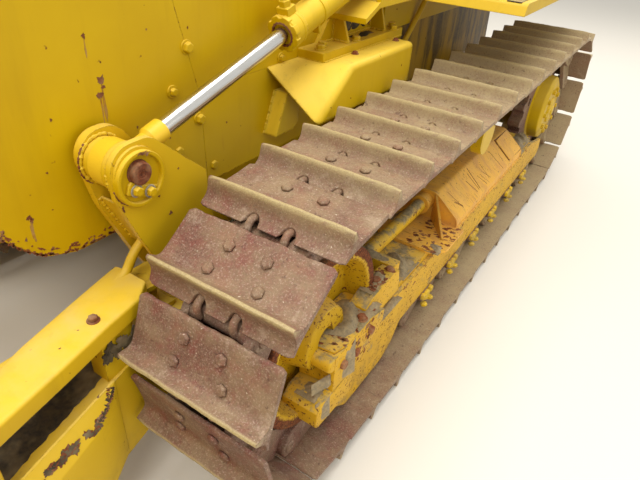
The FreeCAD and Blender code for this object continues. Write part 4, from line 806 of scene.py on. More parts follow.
def shoe_shape():
    shape = Shape()
    columns = sorted({float(x) for x in range(-192, 193, 16)} | {s * x for s in (1, -1) for x in range(27, 78, 4)}
                     | {-203.0, -201.0, 203.0, 201.0})
    loop = OVER + UNDER
    points, wear = [], []
    for x in columns:
        away = abs(abs(x) - 51)
        limit = 204.5 - (math.sqrt(1 - (away / 21) ** 2) * 30 if away < 21 else 0) - max(0, abs(x) - 190) * 0.5
        cut = max(0.0, abs(x) - 194) * 0.8 + 1.2 * math.sin(x * 0.045 + 1) + 0.8 * math.sin(x * 0.13)
        for k, (s, z) in enumerate(loop):
            if s > 170:
                share = (s - 170) / 34.5
                s = 170 + (limit - 170) * share
                if k < len(OVER) - 1:
                    z = height_on(OVER, s)
            if s < 64:
                s += cut * (64 - s) / 56
            if z > 98:
                z -= 0.9 + 0.5 * math.sin(x * 0.06 + 2) + 0.3 * math.sin(x * 0.23) + 3.0 * (abs(x) / 203) ** 8
                s += 0.5 * math.sin(x * 0.05)
            points.append((x, s, z))
            wear.append(1.0 if z > 103 else 0.35 if 86 < z and s > 160 else 0.1 if z > 74 else 0.0)
    size = len(loop)
    faces = []
    for c in range(len(columns) - 1):
        for k in range(size):
            n = (k + 1) % size
            faces.append((c * size + k, c * size + n, (c + 1) * size + n, (c + 1) * size + k))
    faces += [tuple(reversed(range(size))), tuple(range((len(columns) - 1) * size, len(columns) * size))]
    shape.take(points, faces, None, wear)
    outline = [(-31, -14), (-24, -36), (-8, -50), (12, -52.5), (178, -52.5), (200, -50), (216, -36), (223, -14), (222, 8),
               (212, 28), (196, 37), (178, 41), (166, 52.5), (24, 52.5), (14, 42), (-4, 36), (-22, 27), (-31, 8)]
    for side in (1, -1):
        turn = Matrix.Rotation(math.radians(7 * side), 4, "Z")
        seat = Matrix.Translation((80 * side, PITCH / 2, 0)) @ turn @ Matrix.Translation((0, -PITCH / 2, 0))
        stand = seat @ at((0, 0, 0), (0, 1, 0), (1, 0, 0))
        plate(shape, outline, -11.3, 11.3, stand, 1.5)
        lathe(shape, disc_profile(34, 78, 104.5, 3), 20, at((0, 0, 0), (0, 1, 0), (side, 0, 0)))
        lathe(shape, [(100, 0), (100, 20), (107, 20), (109, 18), (109, 7), (106, 5), (106, 0)], 16, at((0, 0, 0), (0, 1, 0), (side, 0, 0)))
        lathe(shape, disc_profile(37, 56, 81, 3), 20, at((0, PITCH, 0), (0, 1, 0), (side, 0, 0)))
        # worn bolt heads, and the horn of the link that shows through the notch
        for s, across in ((52, 53), (117, 70)):
            bolt(shape, at((across * side, s, 63.8), (1, 0.4 * side, 0)), 27, 10, 0, 4.2)
        bar(shape, [(51 * side, s, z) for s, z in ((150, 30), (166, 45), (180, 55), (192, 56), (203, 48), (210, 36), (214, 22))], 9.5, 10)
    lathe(shape, disc_profile(29, -57, 57, 1), 20, at((0, PITCH, 0), (0, 1, 0), (1, 0, 0)))
    return shape


one_shoe = shoe_shape()
for label, x, seed in (("left", TRACK_X, 11), ("right", -TRACK_X, 12)):
    shoes = set_down(f"track_shoes_{label}", one_shoe, chain_places(x), shoe_steel, "machine", seed, 0.25)
    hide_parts(f"track_{label}")

# %% [markdown]
# ## Small finishes
# Fasteners and scabs are too small for drifting noise, so each has one plain, real
# finish: red rust, dried soil, burnt grime, and enamel that has been brushed over a bolt.
# The burnt grime also darkens a sheet under the arm covers, as painted shade.


# %% Rust, soil, grime and rubber
def plain_finish(name, first, second, grain_mm, rough, bump_mm=0.5, metallic=0.0):
    made = bpy.data.materials.new(name)
    made.use_nodes = True
    tree = made.node_tree
    shader = tree.nodes["Principled BSDF"]
    place = add(tree, "ShaderNodeTexCoord").outputs["Object"]
    grain = noise(tree, place, grain_mm, 5, 0.65)
    broad = noise(tree, place, grain_mm * 6, 3, 0.6)
    skin = over(tree, between(tree, grain, 0.35, 0.65), colour(first), colour(second))
    skin = over(tree, between(tree, broad, 0.45, 0.75, 0, 0.35), skin, DUST)
    tree.links.new(skin, shader.inputs["Base Color"])
    shader.inputs["Roughness"].default_value = rough
    shader.inputs["Metallic"].default_value = metallic
    bump = add(tree, "ShaderNodeBump", {"Height": grain, "Distance": bump_mm * 0.001, "Strength": 0.7})
    tree.links.new(bump.outputs[0], shader.inputs["Normal"])
    return made


red_rust = plain_finish("red_rust", "6a3219", "8c4f26", 6, 0.9, 1.0)
dark_rust = plain_finish("dark_pitted_rust", "54260f", "7a3f1c", 8, 0.85, 1.2)
dried_soil = plain_finish("dried_soil", "7d705a", "9b8a68", 9, 0.95, 2.5)
# burnt grime, also used as painted shade under the arm covers
burnt_grime_and_painted_shade = plain_finish("burnt_oily_grime_and_painted_shade", "231d12", "43361c", 14, 0.8, 2.0)
zinc = plain_finish("dull_zinc_washer", "8d8a84", "a8a49a", 5, 0.5, 0.2, 0.6)
rubber = plain_finish("weathered_rubber", "1c1b1a", "292725", 5, 0.85, 0.3)
print("finishes", len(bpy.data.materials))

# %% [markdown]
# ## Rounded castings and folded sheets
# A casting has no sharp corner and a folded sheet has an inside radius. Both start as
# plain corners and flat faces; a bevel that follows the angle between faces rounds them,
# and a folded sheet gets its thickness afterwards.


# %% Rounding and thickening
def settled(holder, angle=40):
    """The mesh with its modifiers worked in, smooth except at real edges."""
    mesh = bpy.data.meshes.new_from_object(holder.evaluated_get(bpy.context.evaluated_depsgraph_get()))
    holder.modifiers.clear()
    holder.data = mesh
    mesh.shade_smooth()
    mesh.set_sharp_from_angle(angle=math.radians(angle))
    return holder


def casting(name, shape, material, body, round_mm=6.0, steps=3):
    """A piece with every edge rounded."""
    made = mesh_of(name, shape, material)
    bevel = made.modifiers.new("rounding", "BEVEL")
    bevel.width = round_mm * 0.001
    bevel.segments = steps
    bevel.limit_method = "ANGLE"
    bevel.angle_limit = math.radians(28)
    settled(made)
    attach(made, body)
    print(name, len(made.data.polygons), "faces on", body)
    return made


def folded_sheet(name, corners, faces, rounds, left_open, thick, material, mirror=True):
    """A sheet folded from flat faces: rounds holds the rounded edges, left_open the faces left out."""
    work = bmesh.new()
    points = [work.verts.new([c * 0.001 for c in corner]) for corner in corners]
    made_faces = [work.faces.new([points[k] for k in face]) for face in faces]
    work.normal_update()
    gone = [made_faces[k] for k in left_open]
    bmesh.ops.delete(work, geom=gone, context="FACES_ONLY")
    for edges, radius in rounds:
        chosen = [work.edges.get((points[a], points[b])) for a, b in edges]
        bmesh.ops.bevel(work, geom=chosen, offset=radius * 0.001, segments=8, profile=0.5, affect="EDGES", clamp_overlap=True)
    mesh = bpy.data.meshes.new(name)
    work.to_mesh(mesh)
    work.free()
    mesh.materials.append(material)
    made = bpy.data.objects.new(name, mesh)
    scene.collection.objects.link(made)
    solid = made.modifiers.new("thickness", "SOLIDIFY")
    solid.thickness = thick * 0.001
    solid.offset = -1
    if mirror:
        made.modifiers.new("other side", "MIRROR").use_axis = (True, False, False)
        made.modifiers["other side"].use_mirror_merge = False
    return settled(made, 50)


# %% The guard boxes over the inner track edges
box_corners = [(447.3, -369, 1004), (632, -146, 1004), (632, 300, 1004), (447.3, 300, 1004),
               (447.3, -369, 856), (632, -348, 856), (632, 300, 856), (447.3, 300, 856)]
box_faces = [(0, 1, 2, 3), (0, 5, 1), (0, 4, 5), (1, 5, 6, 2), (2, 6, 7, 3), (0, 3, 7, 4), (4, 7, 6, 5)]
boxes = folded_sheet("rounded_side_boxes", box_corners, box_faces, [([(1, 2), (1, 5)], 19), ], (2, 5, 6), 6, folded_yellow)
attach(boxes, "machine")
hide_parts("side_boxes")
ribs = Shape()
plate(ribs, [(-330, 925), (-262, 925), (-262, 815), (-290, 792), (-386, 792)], 447.3, 500, at((0, 0, 0), (0, 1, 0), (1, 0, 0)), 1.5)
bar(ribs, line_path((449, -386, 792), (449, -330, 925), 5), 4, 8, 0.3)
piece("side_box_ribs", ribs.mirror(), folded_yellow, "machine")

# %% [markdown]
# ## The push arm's top
# A folded cover shields the angle cylinder. It has a broad soft fold on the inside, a
# crisp one on the outside, and stands on a bracket. The arm under it has a wear plate
# bent over its outer top edge, where tools have knocked the paint off down to the scale.

# %% Covers over the angle cylinders
COVER_TOP, COVER_DEEP = 650, 45
# stations: y, inner x, outer x
COVER = [(-1036, 481, 600), (-1046, 483, 607), (-1092, 494, 640), (-1113, 499, 641.5), (-1185, 517, 654.5), (-1331, 556, 687),
         (-1386, 575, 698), (-1470, 601, 715), (-1600, 640, 742)]


def cover_section(inner, outer, thin):
    """Across the sheet, as x and z, from the inner lower edge over the top to the outer lower edge."""
    low = COVER_TOP - COVER_DEEP
    # its inner edge stops short of the rod's eye
    line = [(inner + thin, low + 16), (inner + thin, COVER_TOP - 16 - thin * 0.4)]
    for k in range(7):
        turn = math.radians(180 - 15 * k)
        line.append((inner + 40 + (40 - thin) * math.cos(turn), COVER_TOP - 15 + (15 - thin) * math.sin(turn)))
    for k in range(5):
        turn = math.radians(90 - 22.5 * k)
        line.append((outer - 8 + (8 - thin) * math.cos(turn), COVER_TOP - 8 + (8 - thin) * math.sin(turn)))
    return line + [(outer - thin, low)]


covers = Shape()
skins = [cover_section(inner, outer, 0) + cover_section(inner, outer, 6)[::-1] for _, inner, outer in COVER]
ring_size = len(skins[0])
points = [(x, y, z) for (y, _, _), skin in zip(COVER, skins) for x, z in skin]
faces = [(s * ring_size + k, s * ring_size + (k + 1) % ring_size, (s + 1) * ring_size + (k + 1) % ring_size, (s + 1) * ring_size + k)
         for s in range(len(COVER) - 1) for k in range(ring_size)]
half_ring = ring_size // 2
for s in (0, len(COVER) - 1):
    strip = [(s * ring_size + k, s * ring_size + k + 1, s * ring_size + ring_size - 2 - k, s * ring_size + ring_size - 1 - k)
             for k in range(half_ring - 1)]
    faces += strip if s == 0 else [tuple(reversed(face)) for face in strip]
covers.take(points, faces)
for y, x in ((-1168, 606), (-1545, 690)):
    plate(covers, [(x - 14, y - 44), (x + 40, y - 44), (x + 32, y + 48), (x - 14, y + 48)], 440, COVER_TOP - 5, None, 2)
plate(covers, [(486, -1040), (598, -1040), (598, -1046), (486, -1046)], COVER_TOP - COVER_DEEP + 2, COVER_TOP - 8, None, 0.5)
skin_pieces = piece("cylinder_cover_sheets", covers.mirror(), worn_yellow, "push_frame", 30)
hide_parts("cylinder_covers")

# %% Wear plates over the arms' outer top edge
casings = Shape()
# stations: y, arm's outer x, arm's top z, how far out, how far down the slope goes
CASING = [(-1206, 658, 490, 1, 2), (-1290, 674, 485, 32, 44), (-1400, 694, 478, 34, 50), (-1500, 712, 471, 34, 52), (-1625, 735, 461, 32, 52)]
points = []
for y, x, z, out, down in CASING:
    points += [(x - 6, y, z - 3), (x - 2, y, z + 4), (x + 3, y, z + 2), (x + out, y, z - down), (x + out + 2, y, z - down - 6),
               (x + out + 2, y, 224), (x + out - 2, y, 219), (x - 8, y, 219)]
casings.take(points, [(s * 8 + k, s * 8 + (k + 1) % 8, s * 8 + 8 + (k + 1) % 8, s * 8 + 8 + k) for s in range(len(CASING) - 1) for k in range(8)]
             + [tuple(reversed(range(8))), tuple(range(len(CASING) * 8 - 8, len(CASING) * 8))])
piece("push_arm_wear_plates", casings.mirror(), worn_yellow, "push_frame", 25)

# %% Scraped, blackened places on the arms, and a dark sheet of painted shade under the covers
dice = random.Random(5)
scraped = Shape()
scraped_rim = Shape()
for k in range(46):
    share = k / 45
    if 0.30 < share < 0.36 or 0.62 < share < 0.66:
        continue
    y = -1225 - 330 * share
    station = next(i for i in range(len(CASING) - 1) if CASING[i][0] >= y >= CASING[i + 1][0])
    (y0, x0, z0, o0, d0), (y1, x1, z1, o1, d1) = CASING[station], CASING[station + 1]
    t = (y - y0) / (y1 - y0)
    x, z, out, down = x0 + (x1 - x0) * t, z0 + (z1 - z0) * t, o0 + (o1 - o0) * t, d0 + (d1 - d0) * t
    on_slope = 0.70 + 0.16 * math.sin(share * 9) + dice.uniform(-0.10, 0.10)
    spot = (x + 3 + (out - 3) * on_slope, y, z + 2 - (down + 2) * on_slope)
    stand = at(spot, (0, 1, 0), (down + 2, 0, max(2, out - 3)))
    wide = dice.uniform(4, 8.5)
    patch(scraped, (9, wide), stand, 1.3, k, 0.7)
    patch(scraped_rim, (10.5, wide + 2.2), stand, 0.8, k + 90, 0.8)
for k in range(26):
    place = (654.8 - dice.uniform(0, 1), -1120 - 92 * (k / 26), 566 + 24 * math.sin(k * 0.7) * dice.random())
    patch(scraped, (dice.uniform(6, 13), dice.uniform(8, 17)), at((648.5 + 0.02 * k, place[1], place[2]), (0, 1, 0), (1, 0.05, 0.1)), 0.9, k + 40, 0.7)
# a thin dark sheet on the inner part of each arm's top is painted shade, where the cover shades the arm
shade = Shape()
dice = random.Random(3)
edge_line = [(606 + 0.184 * (-1120 - y) + dice.uniform(-3, 3), y) for y in range(-1120, -1640, -12)]
back_line = [(478 + 0.184 * (-1120 - y), y) for y in range(-1120, -1640, -12)]
points = [(x, y, 507 - 67 * (-964 - y) / 676 + 0.9) for x, y in edge_line + back_line] \
    + [(x, y, 507 - 67 * (-964 - y) / 676 - 2) for x, y in edge_line + back_line]
count = len(edge_line)
faces = [(k + 1, k, count + k, count + k + 1) for k in range(count - 1)] \
    + [(2 * count + k, 2 * count + k + 1, 3 * count + k + 1, 3 * count + k) for k in range(count - 1)] \
    + [(k, k + 1, 2 * count + k + 1, 2 * count + k) for k in range(count - 1)] \
    + [(count + k + 1, count + k, 3 * count + k, 3 * count + k + 1) for k in range(count - 1)] \
    + [(0, 2 * count, 3 * count, count), (count - 1, 2 * count - 1, 4 * count - 1, 3 * count - 1)]
shade.take(points, faces)
piece("grime_under_the_covers", shade.mirror(), burnt_grime_and_painted_shade, "push_frame")
piece("scraped_arm_edges", scraped.mirror(), burnt_grime_and_painted_shade, "push_frame")
piece("scraped_arm_rims", scraped_rim.mirror(), dark_rust, "push_frame")

# %% [markdown]
# ## The lift cylinder's tower
# The pin of the lift cylinder shows its rusty end in a turned dish, held by a lock plate
# with two screws. Weld beads run where the plates and bosses meet: each is a bar whose
# thickness ripples, as a hand-laid bead does.

# %% Pin dish, lock plate and beads
dishes, lock, washers, pin_ends, beads = Shape(), Shape(), Shape(), Shape(), Shape()
PIN_Y, PIN_Z = -1020, 940
face = at((0, PIN_Y + 2, PIN_Z - 12), (0, 1, 0), (1, 0, 0))
lathe(dishes, [(596, 0), (596, 64.5), (616, 64.5), (617.5, 63), (617.5, 56.5), (616, 55), (607.6, 54.5), (607.6, 0)], 56, face)
lathe(pin_ends, [(604, 0), (604, 29), (609, 29), (611, 26.5), (622, 26), (625, 23), (625, 11), (623, 9.5), (623, 6), (620, 4), (620, 0)],
      28, at((0, PIN_Y - 1, PIN_Z + 4), (0, 1, 0), (1, 0, 0)))
plate(lock, [(-40, -14), (34, -14), (40, -6), (38, 15), (14, 15), (-8, 10), (-36, 16), (-42, 8)], 607, 615.5,
      at((0, -1019, 900), (0, 0.908, -0.419), (1, 0, 0)), 1.5)
for y, z in ((-1037, 907), (-1001, 892)):
    lathe(washers, disc_profile(15.5, 614, 618, 0.8), 20, at((0, y, z), (0, 1, 0), (1, 0, 0)))
    bolt(lock, at((617.5, y, z), (0, 1, 0.4), (1, 0, 0)), 21, 11, 0, 2.2)
bar(beads, ring_path((489.5, PIN_Y, PIN_Z), 55.5, (0, 1, 0), (1, 0, 0), 70)[:-1], 4.6, 8, 0.28)
bar(beads, ring_path((583, PIN_Y, PIN_Z), 62, (0, 1, 0), (1, 0, 0), 70, 100, 300), 4.2, 8, 0.28)
for x in (490.5, 583.5):
    bar(beads, line_path((x, -1046, 848), (x, -974, 704), 4), 4.2, 8, 0.3)
    bar(beads, line_path((x, -832, 520), (x, -832, 806), 5), 4.0, 8, 0.3)
bar(beads, line_path((601, -900, 503), (601, -764, 503), 5), 4.6, 8, 0.3)
for shape, name, material in ((dishes, "lift_pin_dishes", hull_yellow), (lock, "lift_pin_lock_plates", hull_yellow),
                              (washers, "lift_pin_washers", zinc), (pin_ends, "lift_pin_ends", dark_rust),
                              (beads, "tower_weld_beads", worn_yellow)):
    piece(name, shape.mirror(), material, "push_frame")

# %% Rust that has crept out round the dish
crept = Shape()
for y, z, r1, r2, x, seed in ((-1008, 986, 8, 3, 617.6, 1), (-998, 982, 6, 3.4, 617.6, 2), (-1017, 988, 6, 2.4, 617.6, 3), (-993, 986, 3, 5, 600.4, 14),
                              (-1070, 893, 6, 4, 600.3, 4), (-1060, 884, 8, 4, 600.3, 5), (-1046, 876, 9, 3.4, 600.3, 6), (-1030, 869, 9, 4, 600.3, 7),
                              (-1005, 866, 8, 4.6, 600.3, 8), (-990, 872, 4, 3, 600.3, 9), (-936, 800, 5, 4.4, 600.3, 10),
                              (-1066, 868, 3, 8, 600.3, 11), (-965, 858, 3.4, 2.6, 600.3, 12), (-900, 905, 2.4, 2.4, 600.3, 13)):
    patch(crept, (r1, r2), at((x, y, z), (0, 1, 0.2), (1, 0, 0)), 0.7, seed, 0.8)
bar(crept, ring_path((600.3, PIN_Y + 2, PIN_Z - 12), 65.2, (0, 1, 0), (1, 0, 0), 44, 190, 335), 1.5, 6, 0.5)
bar(crept, ring_path((489.7, PIN_Y, PIN_Z), 61, (0, 1, 0), (1, 0, 0), 30, 130, 235), 1.8, 6, 0.6)
piece("tower_rust_spots", crept.mirror(), dark_rust, "push_frame")

# %% A grease pipe from the tower into the cover
pipes = Shape()
PIPE = [(534, -930, 745), (532, -1010, 690), (531, -1042, 640), (556, -1250, 628)]
bar(pipes, bent(PIPE, 40), 12.5, 14)
lathe(pipes, disc_profile(19, -14, 14, 3), 18, at((534, -938, 739), (1, 0, 0), (0, -0.82, -0.57)))
piece("grease_pipes", pipes.mirror(), worn_yellow, "push_frame")

# %% [markdown]
# ## The hull's side
# Three screws hold the guard to the hull. Water has run inside the nose, so its lower
# edge is eaten ragged, and a few pinholes have opened higher up with a brown run below.

# %% Screws, scabs and the eaten lower edge
side_screws, scabs, runs, eaten = Shape(), Shape(), Shape(), Shape()
SWEPT = ((-754, 852), (-622, 765))
for y, z in ((-754, 852), (-622, 765), (-671, 923), (-1240, 1380), (-1240, 1080), (-720, 1330), (-700, 1120)):
    low_head = (y, z) in SWEPT
    bolt(side_screws, at((446.5, y, z), (0, 1, 0.3), (1, 0, 0)), 26, 8 if low_head else 13, 0 if low_head else 19, 3.4)
bolt(scabs, at((446.5, -145, 1016), (0, 1, 0.2), (1, 0, 0)), 24, 12, 18, 3)
for y, z, r1, r2 in ((-986, 1191, 4, 6), (-961, 1094, 8, 11), (-958, 1078, 5, 4), (-969, 1062, 9, 7), (-1095, 1040, 3, 3),
                     (-1192, 846, 6, 6), (-1188, 838, 4, 6), (-1211, 799, 3, 5), (-820, 1180, 2.5, 2.5), (-560, 880, 3, 3), (-330, 840, 4, 3),
                     (-1080, 1300, 3, 4), (-880, 960, 2.5, 3), (-780, 900, 2, 2), (-1130, 930, 2.5, 2.5)):
    patch(scabs, (r1, r2), at((447.2, y, z), (0, 1, 0), (1, 0, 0)), 0.6, int(-y), 0.8)
for y, z, wide, long in ((-961, 1040, 3.5, 46), (-1192, 812, 4, 30), (-969, 1030, 2, 34), (-986, 1165, 2, 20)):
    patch(runs, (wide, long), at((447.2, y, z), (0, 1, 0), (1, 0, 0)), 0.25, int(-z), 0.5)
dice = random.Random(9)
NOSE_EDGE = [(-1309, 940), (-1308, 895), (-1290, 856), (-1245, 800), (-1214, 764), (-1180, 737), (-1145, 722), (-1101, 711), (-1040, 709.5),
             (-970, 709.5), (-900, 709.5)]
for (y0, z0), (y1, z1) in zip(NOSE_EDGE[:-1], NOSE_EDGE[1:]):
    long = math.hypot(y1 - y0, z1 - z0)
    for k in range(int(long / 3.5)):
        t = dice.random()
        inward = dice.random() ** 3 * 20 + 1
        y, z = y0 + (y1 - y0) * t, z0 + (z1 - z0) * t + 2
        away = (Vector((-1000, 1000)) - Vector((y, z))).normalized() * inward
        patch(eaten, (dice.uniform(2, 7), dice.uniform(1.5, 4)), at((447.2, y + away.x, z + away.y), (0, y1 - y0, z1 - z0), (1, 0, 0)), 0.7,
              dice.randrange(999), 0.9)
piece("guard_side_screws", side_screws.mirror(), hull_yellow, "machine")
piece("hull_rust_scabs", scabs.mirror(), dark_rust, "machine")
piece("eaten_nose_edge", eaten.mirror(), red_rust, "machine")
brown_run = plain_finish("brown_rust_run", "8d6414", "a5780f", 10, 0.75, 0.1)
piece("hull_rust_runs", runs.mirror(), brown_run, "machine")

# %% [markdown]
# ## The lift cylinder's head and its support
# The head is a ring nut with spanner notches. A port block on top takes a rigid pipe
# that runs back along the barrel. The support is bolted down on its base plate, and oil
# has made a dark crust between its gussets.


# %% A ring with a shaped outside
def collar(shape, inner, outer, low, high, place, steps=48, ease=1.5):
    """A ring; outer gives the outside radius for each angle in degrees."""
    points = []
    for radius_of, z in ((lambda a: inner, low), (lambda a: outer(a) - ease, low), (outer, low + ease), (outer, high - ease),
                         (lambda a: outer(a) - ease, high), (lambda a: inner, high)):
        points += [(radius_of(360 * i / steps) * math.cos(2 * math.pi * i / steps),
                    radius_of(360 * i / steps) * math.sin(2 * math.pi * i / steps), z) for i in range(steps)]
    faces = [(r * steps + i, r * steps + (i + 1) % steps, (r + 1) % 6 * steps + (i + 1) % steps, (r + 1) % 6 * steps + i)
             for r in range(6) for i in range(steps)]
    return shape.take(points, faces, place)


# %% Heads, ports and pipes of the lift cylinders
BARREL = Vector((0, 0.95735, 0.28891))
BARREL_UP = Vector((0, -0.28891, 0.95735))
for side, label in ((1, "left"), (-1, "right")):
    pin = Vector((537 * side, PIN_Y, PIN_Z))
    head, fittings, seal = Shape(), Shape(), Shape()
    axis = at(pin, (1, 0, 0), BARREL)
    collar(head, 34, lambda a: 52.5 if (a + 8) % 45 > 13 else 47.5, 632, 650, axis, 72)
    collar(head, 43, lambda a: 51.2, 676, 688, axis)
    collar(head, 43, lambda a: 47.5, 1262, 1276, axis)
    bar(head, ring_path(pin + BARREL * 691, 45.5, (1, 0, 0), BARREL, 60)[:-1], 3.2, 8, 0.25)
    collar(seal, 30.5, lambda a: 36 + 1.2 * math.sin(a * 0.31), 630, 640, axis, 60, 1)
    top_of = pin + BARREL * 664 + BARREL_UP * 48
    block = at(top_of, (1, 0, 0), BARREL_UP)
    plate(fittings, [(-20, -18), (20, -18), (20, 20), (-20, 20)], -6, 22, block, 2.5)
    plate(fittings, hexagon(30), 20, 40, block, 2.5)
    lathe(fittings, disc_profile(12, 38, 52, 2), 16, block)
    lane = BARREL_UP * 62
    start = pin + BARREL * 664 + BARREL_UP * 98
    bar(fittings, bent([start, start + BARREL_UP * 16, pin + BARREL * 720 + BARREL_UP * 112, pin + BARREL * 760 + lane,
                        pin + BARREL * 1120 + lane, pin + BARREL * 1150 + BARREL_UP * 50], 26), 8, 12)
    for along in (800, 1080):
        clamp = at(pin + BARREL * along, (1, 0, 0), BARREL)
        collar(fittings, 43.5, lambda a: 46.5, -9, 9, clamp)
        plate(fittings, [(-13, 42), (13, 42), (13, 72), (-13, 72)], -8, 8, clamp, 2)
    piece(f"lift_head_{label}", head, hull_yellow, f"lift_barrel_{label}")
    piece(f"lift_fittings_{label}", fittings, hull_yellow, f"lift_barrel_{label}")
    piece(f"lift_wiper_{label}", seal, dark_rust, f"lift_barrel_{label}")

# %% Screws, beads and crust on the supports
support_screws, rusty_screws, support_beads, crust, red_spots = Shape(), Shape(), Shape(), Shape(), Shape()
for x, y, z in ((539, 31, 1034), (550, 298, 1034), (500, -128, 1034), (520, -170, 1034), (520, 345, 1034)):
    bolt(support_screws, at((x - 8, y, z), (1, 0.5, 0)), 25, 14, 19, 2.4)
for x, y, z in ((563, -25, 1004), (575, 264, 1004)):
    bolt(rusty_screws, at((x, y, z - 0.4), (1, 0.2, 0)), 17, 8, 13, 2.4)
for y in (-20, 250):
    for shift in (-7, 7):
        bar(support_beads, line_path((466, y + shift, 1036), (530, y + shift, 1036), 4), 4.2, 8, 0.3)
        bar(support_beads, line_path((467, y + shift, 1036), (467, y + shift, 1125), 4), 3.8, 8, 0.3)
bar(support_beads, line_path((450, -203, 1004.6), (545, -203, 1004.6), 4), 3.6, 8, 0.3)
bar(support_beads, line_path((548, -200, 1004.6), (548, 366, 1004.6), 4), 3.6, 8, 0.3)
bar(support_beads, line_path((467, -100, 1036), (467, 326, 1036), 4), 4.2, 8, 0.3)
mound(crust, (200, 92), 7, at((465.5, 128, 1086), (0, 1, 0), (1, 0, 0)), 31)
mound(crust, (196, 52), 5, at((496, 128, 1034), (0, 1, 0), (0, 0, 1)), 32)
for k in range(7):
    patch(red_spots, (3 + k % 3, 5), at((472, 190 + 7 * k, 1058 + 5 * (k % 4)), (0, 1, 0), (1, 0, 0)), 1.6, k + 3, 0.6)
piece("support_screws", support_screws.mirror(), hull_yellow, "machine")
piece("support_rusty_screws", rusty_screws.mirror(), red_rust, "machine")
piece("support_weld_beads", support_beads.mirror(), hull_yellow, "machine")
piece("support_oil_crust", crust.mirror(), burnt_grime_and_painted_shade, "machine")
piece("support_red_spots", red_spots.mirror(), red_rust, "machine")
stays = Shape()
bar(stays, [(456, 560, 880), (500, 735, 1149)], 12, 14)
lathe(stays, disc_profile(20, -6, 16, 3), 18, at((452, 548, 862), (1, 0, 0), (0.135, 0.54, 0.83)))
piece("hull_side_stays", stays.mirror(), worn_yellow, "machine")

# %% [markdown]
# ## The undercarriage beside the track
# Everything here is cast or flame cut, painted once and never washed: blocks with
# rounded corners, screw heads, cakes of dried soil on each ledge, and thick rust.

# %% Idler yokes as castings
TX, FRAME_TOP = 865, 400.4
yokes = Shape()
across = at((0, 0, 0), (0, 1, 0), (1, 0, 0))
block_plan = [(902, -566), (985, -552), (1027, -606), (1029, -742), (1014, -800), (916, -812), (896, -765)]
plate(yokes, block_plan, 345, 469)
plate(yokes, [(-812, 330), (-662, 336), (-536, 398), (-536, 446), (-600, 462), (-812, 462)], 984, 1027, across)
plate(yokes, [(-610, 402), (-610, 478), (-560, 496), (-440, 506), (-396, 494), (-372, 402)], 944, 1000, across)
half = len(yokes.points)
half_faces = list(yokes.faces)
yokes.points += [Vector((2 * TX - p.x, p.y, p.z)) for p in yokes.points[:half]]
yokes.wear += yokes.wear[:half]
yokes.faces += [tuple(half + k for k in reversed(face)) for face in half_faces]
plate(yokes, [(-404, 401), (-404, 503), (-362, 503), (-362, 401)], 746, 984, across)
lathe(yokes, disc_profile(26, -364, 54.7, 2), 32, at((TX, 0, 479), (1, 0, 0), (0, 1, 0)))
lathe(yokes, disc_profile(24, 908, 1026, 5), 24, at((0, -816, 440), (0, 1, 0), (1, 0, 0)))
lathe(yokes, disc_profile(24, 704, 822, 5), 24, at((0, -816, 440), (0, 1, 0), (1, 0, 0)))
toe = [(-886, 262), (-872, 250), (-700, 236), (-700, 322), (-770, 338), (-856, 338), (-884, 312)]
plate(yokes, toe, 912, 1026, across)
yoke_pieces = casting("idler_yoke_castings", yokes.mirror(), frame_yellow, "machine", 9, 3)
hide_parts("idler_yokes")

# %% Screws on the blocks, the roller caps and the drives
cap_screws, block_screws = Shape(), Shape()
for y in (-79, 185, 449, 713, 976, 1240):
    lathe(cap_screws, disc_profile(23, 998, 1014, 4), 20, at((0, y, 192), (0, 1, 0), (1, 0, 0)))
    for shift in (-34, 34):
        bolt(cap_screws, at((1000, y + shift, 203), (0, 1, 0.3), (1, 0, 0)), 27, 15, 0, 3.5)
        bolt(cap_screws, at((1012, y + shift * 0.8, 171), (1, 0.2, 0), (0.2, 0, -1)), 24, 12, 0, 3)
for k in range(10):
    turn = math.radians(36 * k)
    bolt(cap_screws, at((974.5, 1689 + 122 * math.cos(turn), 448 + 122 * math.sin(turn)), (0, 1, 0.2), (1, 0, 0)), 24, 12, 17, 2.4)
lathe(cap_screws, [(972, 0), (972, 74), (984, 70), (988, 60), (988, 30), (994, 26), (994, 0)], 36, at((0, 1689, 448), (0, 1, 0), (1, 0, 0)))
for x, y, z in ((958, -708, 469), (925, -783, 469), (1005, -640, 469), (972, -500, 501), (980, -430, 503)):
    bolt(block_screws, at((x, y, z - 1), (1, 0.4, 0)), 24, 11, 18, 3.2)
for y, z in ((-770, 410), (-700, 400), (-620, 425)):
    bolt(block_screws, at((1026, y, z), (0, 1, 0.3), (1, 0, 0)), 26, 12, 0, 3.2)
piece("roller_cap_screws", cap_screws.mirror(), hull_yellow, "machine")
piece("yoke_screws", block_screws.mirror(), red_rust, "machine")

# %% Soil caked on every ledge
soil_cakes = Shape()
for x, y, z, long, wide, high, seed in ((962, -668, 468.5, 190, 128, 17, 3), (985, -590, 468, 90, 70, 10, 7), (925, -250, 400, 130, 130, 22, 5),
                                        (842, -300, 400, 90, 110, 16, 15), (1000, -440, 371, 150, 30, 6, 8), (1006, -795, 337, 110, 42, 10, 9),
                                        (975, -842, 338, 60, 66, 9, 19), (970, -500, 503, 130, 44, 7, 10), (932, 1160, 400, 170, 120, 20, 11),
                                        (940, 1240, 400, 80, 90, 26, 21), (865, -383, 504, 40, 180, 8, 12), (985, 1050, 400, 90, 40, 9, 13),
                                        (940, 1400, 320, 140, 60, 14, 14), (800, 40, 413, 120, 70, 12, 16), (1000, -90, 412, 60, 60, 8, 17)):
    mound(soil_cakes, (long, wide), high, at((x, y, z), (0, 1, 0), (0, 0, 1)), seed)
for x, y, z, long, wide, high, seed in ((1028, -745, 405, 120, 60, 8, 23), (1026, -852, 300, 70, 50, 7, 24), (1010, -842, 380, 40, 70, 10, 25)):
    mound(soil_cakes, (long, wide), high, at((x, y, z), (0, 0, 1), (1, -0.3, 0.1)), seed)
piece("caked_soil", soil_cakes.mirror(), dried_soil, "machine")

